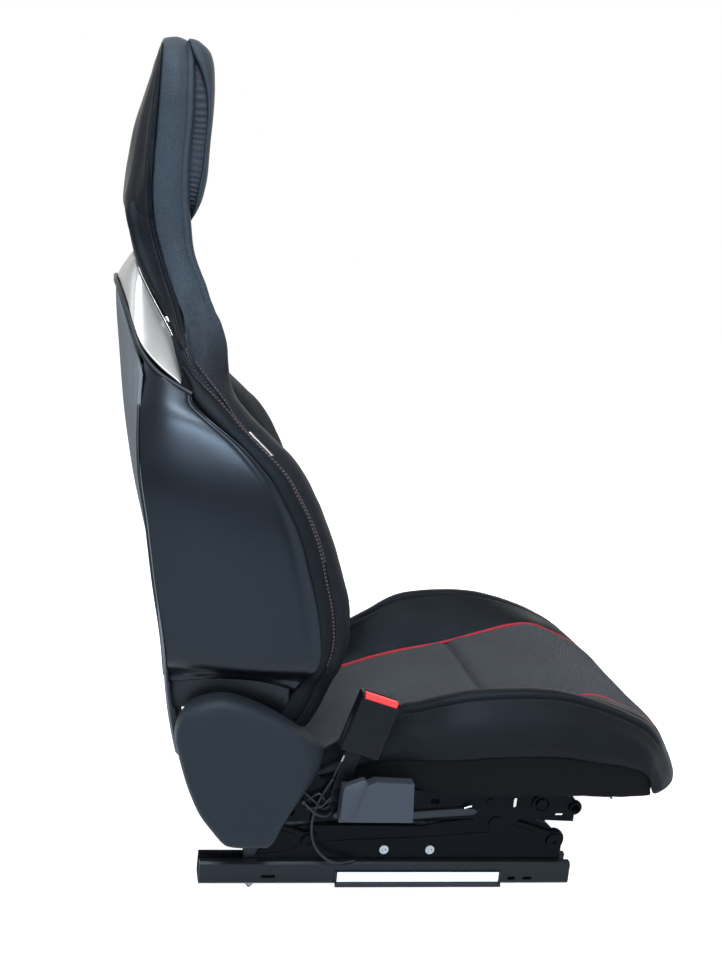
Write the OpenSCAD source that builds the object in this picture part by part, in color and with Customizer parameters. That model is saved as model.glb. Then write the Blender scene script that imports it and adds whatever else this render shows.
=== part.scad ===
// Sport seat with an integral head restraint, on its slide rails and height linkage.
// Millimetres. +X is the front of the seat, +Y its left side, +Z is up.
// The origin is the centre of the four floor bolt holes, on the underside of the lower rails.

/* [Rails] */
// Length of each lower rail
rail_len = 530; // [500:10:580]
// Distance between the centre lines of the two rails
rail_track = 394; // [386:2:400]
// Width of a lower rail
rail_w = 38; // [37:0.5:42]
// Height of a lower rail
rail_h = 33; // [32:0.5:36]
// Sheet thickness of the lower and upper rails
rail_t = 2.5; // [2:0.1:2.6]
// Height of the upper rail's closed top above the floor
upper_top = 58; // [54:0.5:60]
// Width of the upper rail's hat
upper_w = 13; // [12.5:0.5:15]
// Length of the upper rail
upper_len = 457; // [440:1:470]
// Distance between the front and rear floor bolts
bolt_pitch = 450; // [420:5:460]
// Diameter of a floor bolt hole
bolt_d = 10.5; // [8.5:0.5:12]
// Diameter of the locating pins under the rear of the rails
locator_d = 12; // [8:0.5:14]
// How far a locating pin reaches below the rail
locator_len = 14; // [8:1:18]
// Radius of the lower row of balls
ball_low_r = 2.6; // [2.4:0.1:2.8]
// Radius of the upper row of balls
ball_up_r = 2.8; // [2.6:0.1:2.9]
// Running gap round each ball
ball_gap = 0.12; // [0.08:0.02:0.2]

/* [Height linkage] */
// Sheet thickness of the risers on the upper rails
riser_t = 3; // [2.5:0.25:3.5]
// Thickness of a link
link_t = 4; // [3:0.25:4.5]
// Distance between the two pivots of a link
link_len = 96; // [90:1:100]
// Slope of the links when the seat is down, degrees
link_rest = 18; // [15:0.5:20]
// Width of a link
link_w = 22; // [18:1:24]
// Radius of the eyes at the ends of a link
eye_r = 14; // [13:0.5:15]
// Radius of the lower pivot bolts
pivot_r = 6; // [5:0.25:7]
// Radius of the upper pivot stubs
stub_r = 8; // [7:0.25:9]
// Outer radius of the torsion tubes
torsion_r = 11; // [10:0.25:12]
// Wall of the torsion and cross tubes
tube_wall = 2; // [1.5:0.25:2.5]
// Running gap round a pivot
run_gap = 0.08; // [0.05:0.01:0.1]
// Clearance round the open upper pivot of the rear links
open_gap = 0.5; // [0.4:0.05:0.8]
// Front lower pivot, forward of the origin
front_x = 236; // [230:1:240]
// Front lower pivot, above the floor
front_z = 65; // [63:0.5:67]
// Rear lower pivot, behind the origin
rear_x = 118; // [112:1:122]
// Rear lower pivot, above the floor
rear_z = 62; // [60:0.5:64]

/* [Seat base] */
// Sheet thickness of the base side members
pan_t = 3; // [2.5:0.25:3.5]
// Height of the top edge of the side members
pan_top = 145; // [140:1:150]
// Outer radius of the front cross tube
front_tube_r = 8; // [8:0.25:10]
// Outer radius of the rear cross tube
rear_tube_r = 9; // [8:0.25:10]
// Diameter of a suspension wire
wire_d = 4; // [3:0.25:4.5]
// Half the width of the cushion at its middle
cushion_half = 258; // [250:1:262]
// Half the distance between the two long sewn seams of the cushion
seam_half = 155; // [145:1:165]
// Depth of the sewn channels
channel = 6; // [3:0.5:8]
// Where the cross channel of the cushion lies
cross_x = 148; // [120:1:180]
// Gap between soft pieces and what they rest on
soft_gap = 0.3; // [0.25:0.05:0.4]

/* [Backrest] */
// Recliner axis, behind the origin
recline_x = 224; // [218:1:228]
// Recliner axis, above the floor
recline_z = 209; // [205:1:213]
// Lean of the back frame, degrees behind upright
lean = 13.6; // [12:0.2:15]
// Sheet thickness of the back frame
back_t = 3; // [2:0.25:3]
// Depth of the back frame's side channels
back_depth = 68; // [60:1:70]
// Length of the side channels above the recliner axis
back_len = 428; // [410:1:432]
// Radius of a recliner disc
disc_r = 36; // [32:1:40]
// Radius of the recliner's boss in the base side member
boss_r = 20; // [16:1:24]
// Outer radius of the tube hoop through the head restraint
hoop_r = 8; // [7:0.25:9]
// Half the width of the back at its widest
back_half = 258; // [252:1:262]
// Half the width of the back's middle pad
pad_half = 149.7; // [140:1:155]
// Thickness of the plastic side and rear panels
panel_t = 4; // [3:0.25:4.5]

/* [Head restraint] */
// Half the width of the head restraint
head_half = 125; // [118:1:130]
// Height of the top of the head band
head_top = 1103; // [1095:1:1110]
// Thickness of the band across its width
band_w = 44; // [40:1:46]
// Wall of the band round the hoop
band_wall = 9; // [7:0.5:10]
// Thickness of the satin collar behind the neck
collar_t = 2.5; // [2:0.25:3]

/* [Belt buckle] */
// Width of the buckle
buckle_w = 56; // [50:1:58]
// Length of the buckle
buckle_len = 84; // [78:1:90]
// Thickness of the buckle
buckle_t = 25; // [23:0.5:27]
// Travel of the release button
button_travel = 4; // [3:0.5:5]
// Lean of the buckle, degrees forward of upright
buckle_lean = 16.7; // [14:0.1:19]

/* [Covers and levers] */
// How far the recliner covers stand out from the seat's middle
cover_out = 262; // [258:1:266]
// Radius of the recline hand wheel
wheel_r = 36; // [30:1:40]
// Length of the height lever
lever_len = 155; // [130:5:170]
// Diameter of the buckle switch cable
cable_d = 4; // [3:0.5:5]

/* [Hidden] */
$fn = 48;
eps = 0.01;

// Widths from the middle outwards, from the rails to the covers
rail_y = rail_track / 2;
riser_y = rail_y + upper_w / 2;
link_y = riser_y + riser_t + 1.5;
bolt_head = 3.2;
pan_y = link_y + link_t + bolt_head + 1.3;
pan_out = pan_y + pan_t;
back_y = pan_y - 14;
foam_y = back_y + back_t + 3;
trim_y = pan_out + 8;
strap_y = pan_out + 1;

// Pivots as [x, z]
P1 = [front_x, front_z];
P3 = [-rear_x, rear_z];
link_v = [-link_len * cos(link_rest), link_len * sin(link_rest)];
P2 = P1 + link_v;
P4 = P3 + link_v;
RA = [-recline_x, recline_z];
anchor = [-82, 140];
lever_p = [20, 106];
bar_p = [78, 49];

// ---------------------------------------------------------------- curves and lofts
function slope(t, i) = let (a = max(i - 1, 0), b = min(i + 1, len(t) - 1))
    (t[b][1] - t[a][1]) / (t[b][0] - t[a][0]);
function span(t, u, i = 0) = (i >= len(t) - 2 || u < t[i + 1][0]) ? i : span(t, u, i + 1);
// Smooth curve through the [position, value] pairs of t, flat beyond its ends
function curve(t, u) = let (v = min(max(u, t[0][0]), t[len(t) - 1][0]), i = span(t, v),
    h = t[i + 1][0] - t[i][0], s = (v - t[i][0]) / h)
    (2 * s ^ 3 - 3 * s ^ 2 + 1) * t[i][1] + (s ^ 3 - 2 * s ^ 2 + s) * h * slope(t, i)
    + (3 * s ^ 2 - 2 * s ^ 3) * t[i + 1][1] + (s ^ 3 - s ^ 2) * h * slope(t, i + 1);
function mix(a, b, s) = a + (b - a) * s;
function unit(v) = v / norm(v);
function reversed(a) = [for (i = [len(a) - 1:-1:0]) a[i]];
function both(half) = concat([for (p = reversed(half)) if (p[0] > eps) [-p[0], p[1]]], half);

// Closed loft: each row is a front chain and a back chain of as many points
module loft(rows) {
    n = len(rows[0][0]) + len(rows[0][1]);
    last = (len(rows) - 1) * n;
    points = [for (r = rows) each concat(r[0], reversed(r[1]))];
    walls = [for (k = [0:len(rows) - 2], i = [0:n - 1])
        let (a = k * n + i, b = k * n + (i + 1) % n) each [[a, a + n, b + n], [a, b + n, b]]];
    caps = [for (i = [0:n / 2 - 2], o = [0, last])
        let (a = o + i, b = o + i + 1, c = o + n - 2 - i, d = o + n - 1 - i)
        each o == 0 ? [[a, b, c], [a, c, d]] : [[a, c, b], [a, d, c]]];
    polyhedron(points, concat(walls, caps), convexity = 12);
}

// Tube of radius r through the path's points; side is a direction across the path
module swept(path, r, sides = 8, side = [1, 0, 0]) {
    n = len(path);
    points = [for (i = [0:n - 1]) let (t = unit(path[min(i + 1, n - 1)] - path[max(i - 1, 0)]),
        u = unit(side - (side * t) * t), w = cross(t, u))
        for (k = [0:sides - 1]) path[i] + r * (cos(360 * k / sides) * u + sin(360 * k / sides) * w)];
    walls = [for (i = [0:n - 2], k = [0:sides - 1])
        let (a = i * sides + k, b = i * sides + (k + 1) % sides)
        each [[a, a + sides, b + sides], [a, b + sides, b]]];
    o = (n - 1) * sides;
    caps = [for (k = [1:sides - 2]) each [[0, k, k + 1], [o, o + k + 1, o + k]]];
    polyhedron(points, concat(walls, caps), convexity = 12);
}

module pair() {
    children();
    mirror([0, 1, 0]) children();
}
module along_x(x0, x1) translate([x0, 0, 0]) rotate([90, 0, 90]) linear_extrude(x1 - x0) children();
module along_y(y0, y1) translate([0, y1, 0]) rotate([90, 0, 0]) linear_extrude(y1 - y0) children();
module rod_y(p, y0, y1, r) translate([p[0], y1, p[1]]) rotate([90, 0, 0]) cylinder(r = r, h = y1 - y0);
module tube_y(p, y0, y1, r) difference() {
    rod_y(p, y0, y1, r);
    rod_y(p, y0 - 1, y1 + 1, r - tube_wall);
}
module slot2(p, len, h) translate(p) {
    square([len - h, h], center = true);
    for (s = [-1, 1]) translate([s * (len - h) / 2, 0]) circle(h / 2);
}
module bar2(a, b, w) {
    v = b - a;
    translate(a) rotate(atan2(v[1], v[0])) translate([0, -w / 2]) square([norm(v), w]);
}

// ---------------------------------------------------------------- slide rails
lip_in = upper_w / 2 + 1.5;
lip_drop = 13;
leg_x = lip_in + rail_t + 1.2;
bend = 3;
bend_in = 1.5;
// Half of the rolled lower profile
lower_half = [[0, 0], [rail_w / 2 - bend, 0], [rail_w / 2, bend], [rail_w / 2, rail_h - bend],
    [rail_w / 2 - bend, rail_h], [lip_in, rail_h], [lip_in, rail_h - lip_drop],
    [lip_in + rail_t, rail_h - lip_drop], [lip_in + rail_t, rail_h - rail_t],
    [rail_w / 2 - rail_t - bend_in, rail_h - rail_t], [rail_w / 2 - rail_t, rail_h - rail_t - bend_in],
    [rail_w / 2 - rail_t, rail_t + bend_in], [rail_w / 2 - rail_t - bend_in, rail_t], [0, rail_t]];
module lower_profile() polygon(concat(lower_half,
    [for (i = [len(lower_half) - 2:-1:1]) [-lower_half[i][0], lower_half[i][1]]]));
module lower_rail() color("black") difference() {
    translate([0, rail_y, 0]) along_x(-rail_len / 2, rail_len / 2) lower_profile();
    for (s = [-1, 1]) translate([s * bolt_pitch / 2, rail_y, -1]) cylinder(d = bolt_d, h = rail_t + 2);
    along_y(rail_y + rail_w / 2 - rail_t - 1, rail_y + rail_w / 2 + 1) {
        slot2([-170, 12], 20, 6);
        slot2([179, 9], 12, 6);
        slot2([203, 9], 14, 5);
    }
}
module lower_rail_left() lower_rail();
module lower_rail_right() mirror([0, 1, 0]) lower_rail();

module locating_pins() color("dimgray") pair() translate([-193, rail_y, -locator_len]) {
    cylinder(r1 = 2, r2 = locator_d / 2, h = 6);
    translate([0, 0, 6]) cylinder(d = locator_d, h = locator_len - 6);
}
duct_x = [-77, 162];
duct_y = rail_y + rail_w / 2;
module cable_duct() color("black") mirror([0, 1, 0]) translate([0, duct_y, 0])
    along_x(duct_x[0], duct_x[1]) polygon([[0, 20.5], [2, 20.5], [2, 4], [7, 4], [7, -0.8], [5, -0.8],
        [5, 1.5], [0, 1.5 + bend]]);
module label_plate() color("white") mirror([0, 1, 0])
    translate([duct_x[0] + 3, duct_y + 2, 5]) cube([duct_x[1] - duct_x[0] - 6, 0.5, 14.5]);

leg_top = rail_h - rail_t - 2 * ball_up_r - 2 * ball_gap - 0.2;
flange_z = rail_t + 2 * ball_low_r + 2 * ball_gap;
module upper_profile() {
    difference() {
        union() {
            translate([-upper_w / 2, flange_z]) square([upper_w, upper_top - flange_z]);
            translate([-leg_x - rail_t, flange_z]) square([2 * (leg_x + rail_t), rail_t]);
        }
        translate([-upper_w / 2 + rail_t, flange_z - 1])
            square([upper_w - 2 * rail_t, upper_top - flange_z - rail_t + 1]);
    }
    for (s = [-1, 1]) translate([s * (leg_x + rail_t / 2) - rail_t / 2, flange_z + eps])
        square([rail_t, leg_top - flange_z]);
}
upper_x0 = -205;
module upper_rail() color("black") difference() {
    translate([0, rail_y, 0]) along_x(upper_x0, upper_x0 + upper_len) upper_profile();
    rod_y(bar_p, rail_y - upper_w, rail_y + 1, 4);
    for (x = riser_bolt_x) rod_y([x, riser_bolt_z], rail_y, rail_y + upper_w, 3.5);
}
module upper_rail_left() upper_rail();
module upper_rail_right() mirror([0, 1, 0]) upper_rail();

cage_x = [-100, -40, 40, 100];
module ball_row(y, z, r) {
    for (x = cage_x) translate([x, y, z]) rotate(90) sphere(r, $fn = 32);
    translate([-115, y - 1.6, z - 0.5]) cube([230, 3.6, 1]);
}
module rail_ball_cages() color("silver") pair() for (s = [-1, 1]) translate([0, rail_y, 0])
    mirror([0, s < 0 ? 1 : 0, 0]) {
        ball_row(rail_w / 2 - rail_t - ball_low_r - ball_gap, rail_t + ball_low_r + ball_gap, ball_low_r);
        ball_row(rail_w / 2 - rail_t - ball_up_r - ball_gap,
            leg_top + ball_up_r + ball_gap + 0.1, ball_up_r);
    }

// ---------------------------------------------------------------- risers and linkage
riser_low = rail_h + 4;
riser_high = 84;
riser_bolt_x = [-10, 56];
riser_bolt_z = 50;
step_z = [[-188, 40], [-148, 46], [-128, 54], [-87, 61], [-37, 64], [34, 67], [106, 73], [179, 78],
    [216, 81]];
module risers() color("black") pair() difference() {
    union() {
        along_y(riser_y, riser_y + riser_t) {
            polygon([[-188, riser_low], [-186, 44], [-142, riser_high - 4], [-128, riser_high],
                [40, riser_high], [70, riser_high + 6], [110, riser_high + 11], [205, riser_high + 12],
                [front_x - 10, riser_high + 5], [front_x + 14, front_z], [front_x + 14, riser_low]]);
            translate(P1) circle(17);
        }
        // Stiffening flange turned in over the upper rail
        translate([-118, riser_y - 12, riser_high - 3]) cube([150, 12 + riser_t, 3]);
        // Lower half of the pressing stands out by a step
        along_y(riser_y + riser_t - eps, riser_y + riser_t + 1)
            polygon(concat([[-184, riser_low + 1]], step_z,
                [[front_x - 20, 70], [front_x - 16, riser_low + 1]]));
    }
    // Cradle that lets the torsion tube down and up again
    along_y(riser_y - 1, riser_y + 5) for (a = [0, 4, 8, 12, 16]) translate(P1 + link_len
        * [-cos(link_rest + a), sin(link_rest + a)]) circle(torsion_r + 1.5);
    for (p = [P1, P3]) rod_y(p, riser_y - 1, riser_y + 9, pivot_r);
    for (x = riser_bolt_x) rod_y([x, riser_bolt_z], riser_y - 1, riser_y + 9, 3.5);
}
module riser_bolts() color("lightsteelblue") pair() for (x = riser_bolt_x) difference() {
    union() {
        rod_y([x, riser_bolt_z], riser_y + riser_t + 1, riser_y + riser_t + 4.4, 6.5);
        rod_y([x, riser_bolt_z], riser_y - rail_t - 1, riser_y + riser_t + 1 + eps, 3.5);
    }
    rod_y([x, riser_bolt_z], riser_y + riser_t + 2.4, riser_y + 9, 3);
}
module link_bolts() color("dimgray") pair() for (p = [P1, P3]) difference() {
    union() {
        rod_y(p, riser_y, link_y + link_t + 0.3, pivot_r);
        rod_y(p, link_y + link_t + 0.3 - eps, link_y + link_t + bolt_head, 11);
        rod_y(p, riser_y + riser_t + (p == P3 ? 1 : 0), link_y - 0.3, 9);
    }
    along_y(link_y + link_t + 1.4, link_y + 20) translate(p) circle(4, $fn = 6);
}
module link(p, q) difference() {
    union() {
        along_y(link_y, link_y + link_t) {
            translate(p) circle(eye_r);
            translate(q) circle(eye_r);
            bar2(p, q, link_w);
        }
        // Pressed rib along the link
        along_y(link_y + link_t - eps, link_y + link_t + 1) slot_between(p, q, 9, 26);
    }
    rod_y(p, link_y - 2, link_y + link_t + 1, pivot_r + run_gap);
}
function turned(v, t) = [v[0] * cos(t) - v[1] * sin(t), v[0] * sin(t) + v[1] * cos(t)];
module slot_between(p, q, w, inset) {
    v = unit(q - p);
    polygon(concat([for (t = [90:30:270]) p + v * inset + turned(v, t) * w / 2],
        [for (t = [-90:30:90]) q - v * inset + turned(v, t) * w / 2]));
}
// Stub and washer that carry the base side member on a link's upper eye
module stub(q) {
    rod_y(q, link_y + link_t - eps, pan_out + 0.4, stub_r);
    rod_y(q, pan_out + 0.4 - eps, pan_out + 2.4, stub_r + 3);
}
module front_links() color("black") pair() {
    link(P1, P2);
    stub(P2);
}
module rear_links() color("black") pair() {
    link(P3, P4);
    stub(P4);
}
module front_torsion_tube() color("black") tube_y(P2, -link_y, link_y, torsion_r);
module rear_torsion_tube() color("black") tube_y(P4, -link_y, link_y, torsion_r);

// ---------------------------------------------------------------- slide release
bar_r = 5;
bar_y = riser_y - upper_w - bar_r - 1;
bar_front = 250;
bend_r = 24;
module release_bar() color("black") {
    pair() {
        translate([bar_p[0], bar_y, bar_p[1]]) rotate([0, 90, 0])
            cylinder(r = bar_r, h = bar_front - bend_r - bar_p[0]);
        translate([bar_p[0], bar_y, bar_p[1]]) sphere(bar_r + 0.5);
        translate([bar_front - bend_r, bar_y - bend_r, bar_p[1]])
            rotate_extrude(angle = 90) translate([bend_r, 0]) circle(bar_r);
        rod_y(bar_p, bar_y, rail_y + 4, 3.8);
    }
    rod_y([bar_front, bar_p[1]], -bar_y + bend_r, bar_y - bend_r, bar_r);
}
module release_grip() color("dimgray") difference() {
    union() {
        rod_y([bar_front, bar_p[1]], -70, 70, bar_r + 5);
        for (y = [-60:15:60]) rod_y([bar_front, bar_p[1]], y - 3, y + 3, bar_r + 6);
    }
    rod_y([bar_front, bar_p[1]], -80, 80, bar_r);
}
// Comb levers inside the upper rails, turned by the bar
module rail_locks() color("silver") pair() difference() {
    along_y(rail_y - 2.5, rail_y + 2.5) {
        translate(bar_p) circle(6.2);
        translate([bar_p[0] - 5, 16]) square([12, bar_p[1] - 18]);
        translate([bar_p[0] - 5, 16]) square([66, 6]);
        for (i = [0:3]) translate([bar_p[0] + 8 + 14 * i, 5.5]) square([7, 11]);
    }
    rod_y(bar_p, rail_y - 9, rail_y + 9, 3.8);
}

// ---------------------------------------------------------------- seat base
module base_outline() {
    polygon([[258, 100], [258, 126], [250, 136], [232, pan_top], [20, pan_top],
        [-66, pan_top], [-74, 154], [-108, 159], [-136, 178], [-172, 229], [-224, 245], [-266, 206],
        [-262, 170], [-240, 128], [P4[0] - 18, P4[1] + 6], [P4[0] + 10, P4[1] - 12],
        [-160, 97], [20, 100], [P2[0] - 34, 103], [P2[0] - 12, P2[1] - 8], [P2[0] + 12, P2[1] - 8],
        [P2[0] + 34, 103]]);
    translate(P2) circle(15);
    translate(P4) circle(18);
    translate(RA) circle(46);
    translate(front_tube) circle(front_tube_r + 3);
}
front_tube = [257, 121];
module base_side() color("black") difference() {
    union() {
        along_y(pan_y, pan_out) base_outline();
        // Top flange turned in under the cushion
        translate([-64, pan_y - 14, pan_top - pan_t]) cube([294, 14 + pan_t, pan_t]);
        // Drawn collar round the tilt bush, and the bush's bolt
        along_y(pan_out - eps, pan_out + 3) difference() {
            translate([207, 127]) circle(13.5);
            translate([207, 127]) circle(10.5);
        }
        rod_y([207, 127], pan_out - eps, pan_out + 5, 7.5);
        rod_y([133, 127], pan_out - eps, pan_out + 1.6, 6);
    }
    rod_y(P2, pan_y - 1, pan_out + 1, stub_r + run_gap);
    rod_y(P4, pan_y - 1, pan_out + 1, stub_r + open_gap);
    rod_y(RA, pan_y - 1, pan_out + 1, boss_r + run_gap);
    rod_y(front_tube, pan_y - 1, pan_out + 5, front_tube_r);
    rod_y(rear_tube, pan_y - 1, pan_out + 5, rear_tube_r);
    rod_y(anchor, pan_y - 1, pan_out + 1, 5);
    rod_y(lever_p, pan_y - 1, pan_out + 1, 5);
    along_y(pan_y - 1, pan_out + 1) {
        translate([169, 127]) rotate(90) slot2([0, 0], 15, 5);
        slot2([52, 128], 14, 8);
        slot2([-30, 118], 34, 16);
        slot2([236, 110], 12, 4);
    }
}
module base_side_left() base_side();
module base_side_right() mirror([0, 1, 0]) base_side();
rear_tube = [-150, 112];
module front_cross_tube() color("black") tube_y(front_tube, -pan_out - 4, pan_out + 4, front_tube_r);
module rear_cross_tube() color("black") tube_y(rear_tube, -pan_out - 2, pan_out + 2, rear_tube_r);
// Pressed sheet under the front of the cushion
module seat_pan() color("black") {
    along_y(-pan_y + 0.5, pan_y - 0.5) polygon([[116, pan_top], [296, pan_top], [306, 141],
        [312, 133], [314, 134], [307.5, 142.6], [297, pan_top + 2], [116, pan_top + 2]]);
    for (y = [-140:70:140]) translate([0, y, 0]) along_y(-6, 6) polygon([[130, pan_top - 5],
        [268, pan_top - 5], [274, pan_top + eps], [124, pan_top + eps]]);
}
wire_top = pan_top + 2;
wire_z = [[-146, rear_tube[1] + rear_tube_r + wire_d / 2], [-60, wire_top - 9], [10, wire_top - wire_d / 2],
    [126, wire_top - wire_d / 2]];
module suspension_wires() color("gray") for (y = [-130:65:130])
    swept([for (i = [0:16]) let (x = mix(-150, 115, i / 16))
        [x, y + (i % 2 == 0 ? -9 : 9), curve(wire_z, x)]], wire_d / 2, 6, [0, 1, 0]);

// ---------------------------------------------------------------- cushion
// Heights along the seat: middle, bolster crest, skirt's top and bottom, and underside
mid_z = [[-195, 144], [-158, 147], [-120, 154], [-60, 170], [-17, 185], [24, 200], [72, 214],
    [138, 229], [205, 250], [255, 265], [292, 268], [326, 257], [350, 248], [372, 237], [392, 223],
    [406, 205], [417, 185], [425, 168], [430, 157]];
crest_z = [[-195, 145], [-158, 150], [-120, 168], [-80, 196], [-50, 222], [-20, 241], [19, 258],
    [49, 275], [85, 289], [127, 296], [177, 298], [227, 294], [278, 280], [322, 264], [360, 247],
    [390, 223], [412, 193], [424, 172], [430, 158]];
skirt_top = [[-195, 142], [-158, 146], [-60, 166], [-20, 182], [30, 193], [85, 202], [155, 210],
    [212, 209], [272, 203], [332, 195], [366, 184], [400, 170], [430, 154]];
skirt_low = [[-30, 148], [64, 149], [134, 151], [250, 153], [300, 156], [360, 161]];
under_z = [[-195, 126], [-158, 126], [-120, 131], [-90, 135.5], [-60, wire_top - 7],
    [-10, wire_top], [340, wire_top], [395, wire_top + 1], [430, 151]];
cushion_w = [[-195, 198], [-158, 206], [-90, 208], [-20, 217], [20, 234], [60, 249],
    [120, cushion_half - 1], [200, cushion_half], [300, cushion_half], [360, cushion_half - 3],
    [430, cushion_half - 12]];
cushion_x = [-195, -158, -115, -85, -55, -25, 5, 35, 65, 95, 122, cross_x - 9, cross_x,
    cross_x + 9, 180, 212, 245, 275, 302, 328, 350, 370, 388, 403, 415, 424, 430];
// The front corners fall back
function bow(s, y) = s - 75 * (max(0, s - 250) / 180) ^ 2 * abs(y / cushion_half) ^ 5;
function groove(s) = channel * exp(-((s - cross_x) / 5) ^ 2);
function cushion_row(s) = let (w = curve(cushion_w, s), z0 = curve(mid_z, s),
    z1 = curve(crest_z, s), zs = curve(skirt_top, s), g = groove(s),
    low = curve(under_z, s) + soft_gap, yc = w - 38, e = min(200, w - 27),
    q = min(channel, (z0 - low) / 3), tip = max(0, (s - 400) / 30),
    c = 4 - 6 * min(1, max(0, (s - 280) / 80)), top = [[0, z0 + c - g], [60, z0 + c - g],
        [115, z0 + c / 2 - g], [seam_half - 9, z0 - g],
        [seam_half, z0 - q], [seam_half + 9, z0 + (z1 - z0) * 0.14],
        [(seam_half + yc) / 2 + 4, mix(z0, z1, 0.7)], [yc, z1], [w - 14, z1 - (9 - 6 * tip) - (z1 - zs) * 0.06],
        [w - 3, mix(z1, zs, 0.35)], [w, mix(z1, zs, 0.68)], [w - 5, zs]],
    base = concat([for (f = [0, 0.3, 0.57, 0.75, 0.82, 0.87, 0.92, 0.96, 1]) [f * e, low]],
        [[w - 22, mix(low, zs, 0.1) + 0.5], [w - 18, zs - 1], [w - 12, zs]]))
    [[for (p = both(base)) [bow(s, p[0]), p[0], p[1]]],
        [for (p = both(top)) [bow(s, p[0]), p[0], p[1]]]];
module cushion() color("dimgray") loft([for (s = cushion_x) cushion_row(s)]);

// Cloth skirt sewn under each side of the cushion
skirt_x = [for (i = [0:12]) mix(-28, 358, i / 12)];
module cushion_skirt() color("#202020") pair() loft([for (s = skirt_x)
    let (w = curve(cushion_w, s), a = curve(skirt_low, s), b = curve(skirt_top, s) - 1 - soft_gap)
    [[[bow(s, w), w - 17, a], [bow(s, w), w - 8, a]],
        [[bow(s, w), w - 17, b], [bow(s, w), w - 8, b]]]]);

// ---------------------------------------------------------------- covers on the base
// Upper and lower edge of a recliner cover, from rear to front, as [x, z]
cover_up = [[-313, 225], [-312, 242], [-306, 258], [-295, 272], [-278, 281], [-256, 285],
    [-232, 281], [-205, 271], [-175, 256], [-144, 236], [-124, 221], [-113, 208]];
cover_down = [[-310, 212], [-303, 188], [-291, 154], [-275, 121], [-255, 95], [-238, 77],
    [-222, 73], [-200, 73], [-176, 76], [-160, 108], [-139, 142], [-118, 180]];
cover_mid = [-222, 190];
function drawn_in(p, d) = p + unit(cover_mid - p) * d * min(1, norm(cover_mid - p) / 70);
function cover_ring(y, d) = [[for (p = cover_up) let (q = drawn_in(p, d)) [q[0], y, q[1]]],
    [for (p = cover_down) let (q = drawn_in(p, d)) [q[0], y, q[1]]]];
cover_in = pan_out + 9;
module cover_shell() color("#33353a") loft([for (r = [[cover_in, 0], [cover_out - 13, 0.5],
    [cover_out - 6, 4], [cover_out - 2.5, 9], [cover_out, 18], [cover_out + 0.5, 42]])
    cover_ring(r[0], r[1])]);
// Lugs that seat the cover on the base side member
module cover_lugs() color("#33353a") for (p = [[-250, 196], [-196, 130]])
    rod_y(p, pan_out, cover_out - 7, 5);
module recliner_cover_right() mirror([0, 1, 0]) union() {
    cover_shell();
    cover_lugs();
}
module recliner_cover_left() difference() {
    union() {
        cover_shell();
        cover_lugs();
    }
    rod_y(RA, pan_out, cover_out + 5, shaft_r + 1);
}

// Grey connector housing on the buckle side
module connector_box() color("#45484e") mirror([0, 1, 0]) {
    difference() {
        along_y(trim_y, trim_y + 18) polygon([[-86, 109], [17, 109], [13, 166], [-40, 168],
            [-56, 160], [-84, 160]]);
        along_y(trim_y - 1, trim_y + 15.5) polygon([[-83.5, 111.5], [14.3, 111.5], [10.6, 163.6],
            [-39.5, 165.4], [-55, 157.5], [-81.6, 157.5]]);
    }
    for (p = [[0, 120], [-35, 152]]) rod_y(p, pan_out, trim_y + 15.5 + eps, 4);
}
// Guide strap for the wiring under the connector box
module wiring_guide() color("black") mirror([0, 1, 0]) along_y(pan_out, pan_out + 4)
    polygon([[-90, 108], [-84, 113], [20, 113.5], [60, 117], [96, 120], [110, 119], [114, 115],
        [108, 110.5], [60, 107], [20, 103.5], [-80, 102.5], [-88, 104]]);
// Trim that covers the outer side of the base
module valance_outline(d) polygon([[-94 + d, 100 + d], [-60, 90 + d], [240 - d, 94 + d],
    [262 - d, 106 + d], [264 - d, 128 - d], [250 - d, 138 - d], [190, 130 - d], [60, 116 - d],
    [-90 + d, 116 - d]]);
module outer_valance() color("#33353a") {
    difference() {
        along_y(pan_out + 6, pan_out + 16) valance_outline(0);
        along_y(pan_out + 5, pan_out + 13.5) valance_outline(2.5);
        rod_y(lever_p, pan_out, pan_out + 20, 7);
    }
    for (x = [-40, 90, 225]) rod_y([x, 106], pan_out, pan_out + 13.5 + eps, 4);
}

// ---------------------------------------------------------------- belt buckle
cable_y = -pan_out - 5;
cable_path = [[-95, cable_y, 163], [-102, cable_y, 150], [-109, cable_y, 136], [-115, cable_y, 120],
    [-118, cable_y, 104], [-118, cable_y, 88], [-115, cable_y, 72], [-108, cable_y, 58],
    [-98, cable_y, 47], [-87, cable_y, 40], [-74, cable_y + 2, 36.5], [-62, cable_y + 6, 35.8],
    [-52, cable_y + 9.5, 35.6]];
module buckle_cable() color("black") {
    swept(cable_path, cable_d / 2, 8, [0, 1, 0]);
    // Clip on the base side member
    mirror([0, 1, 0]) rod_y([-106, 143], pan_out, -cable_y + 3, 4);
}
module buckle_anchor() color("silver") mirror([0, 1, 0]) {
    rod_y(anchor, pan_y - 3, strap_y + 3.4, 5);
    rod_y(anchor, strap_y + 3.3, strap_y + 6.3, 10);
    rod_y(anchor, pan_out, strap_y - 0.2, 9);
}
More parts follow.
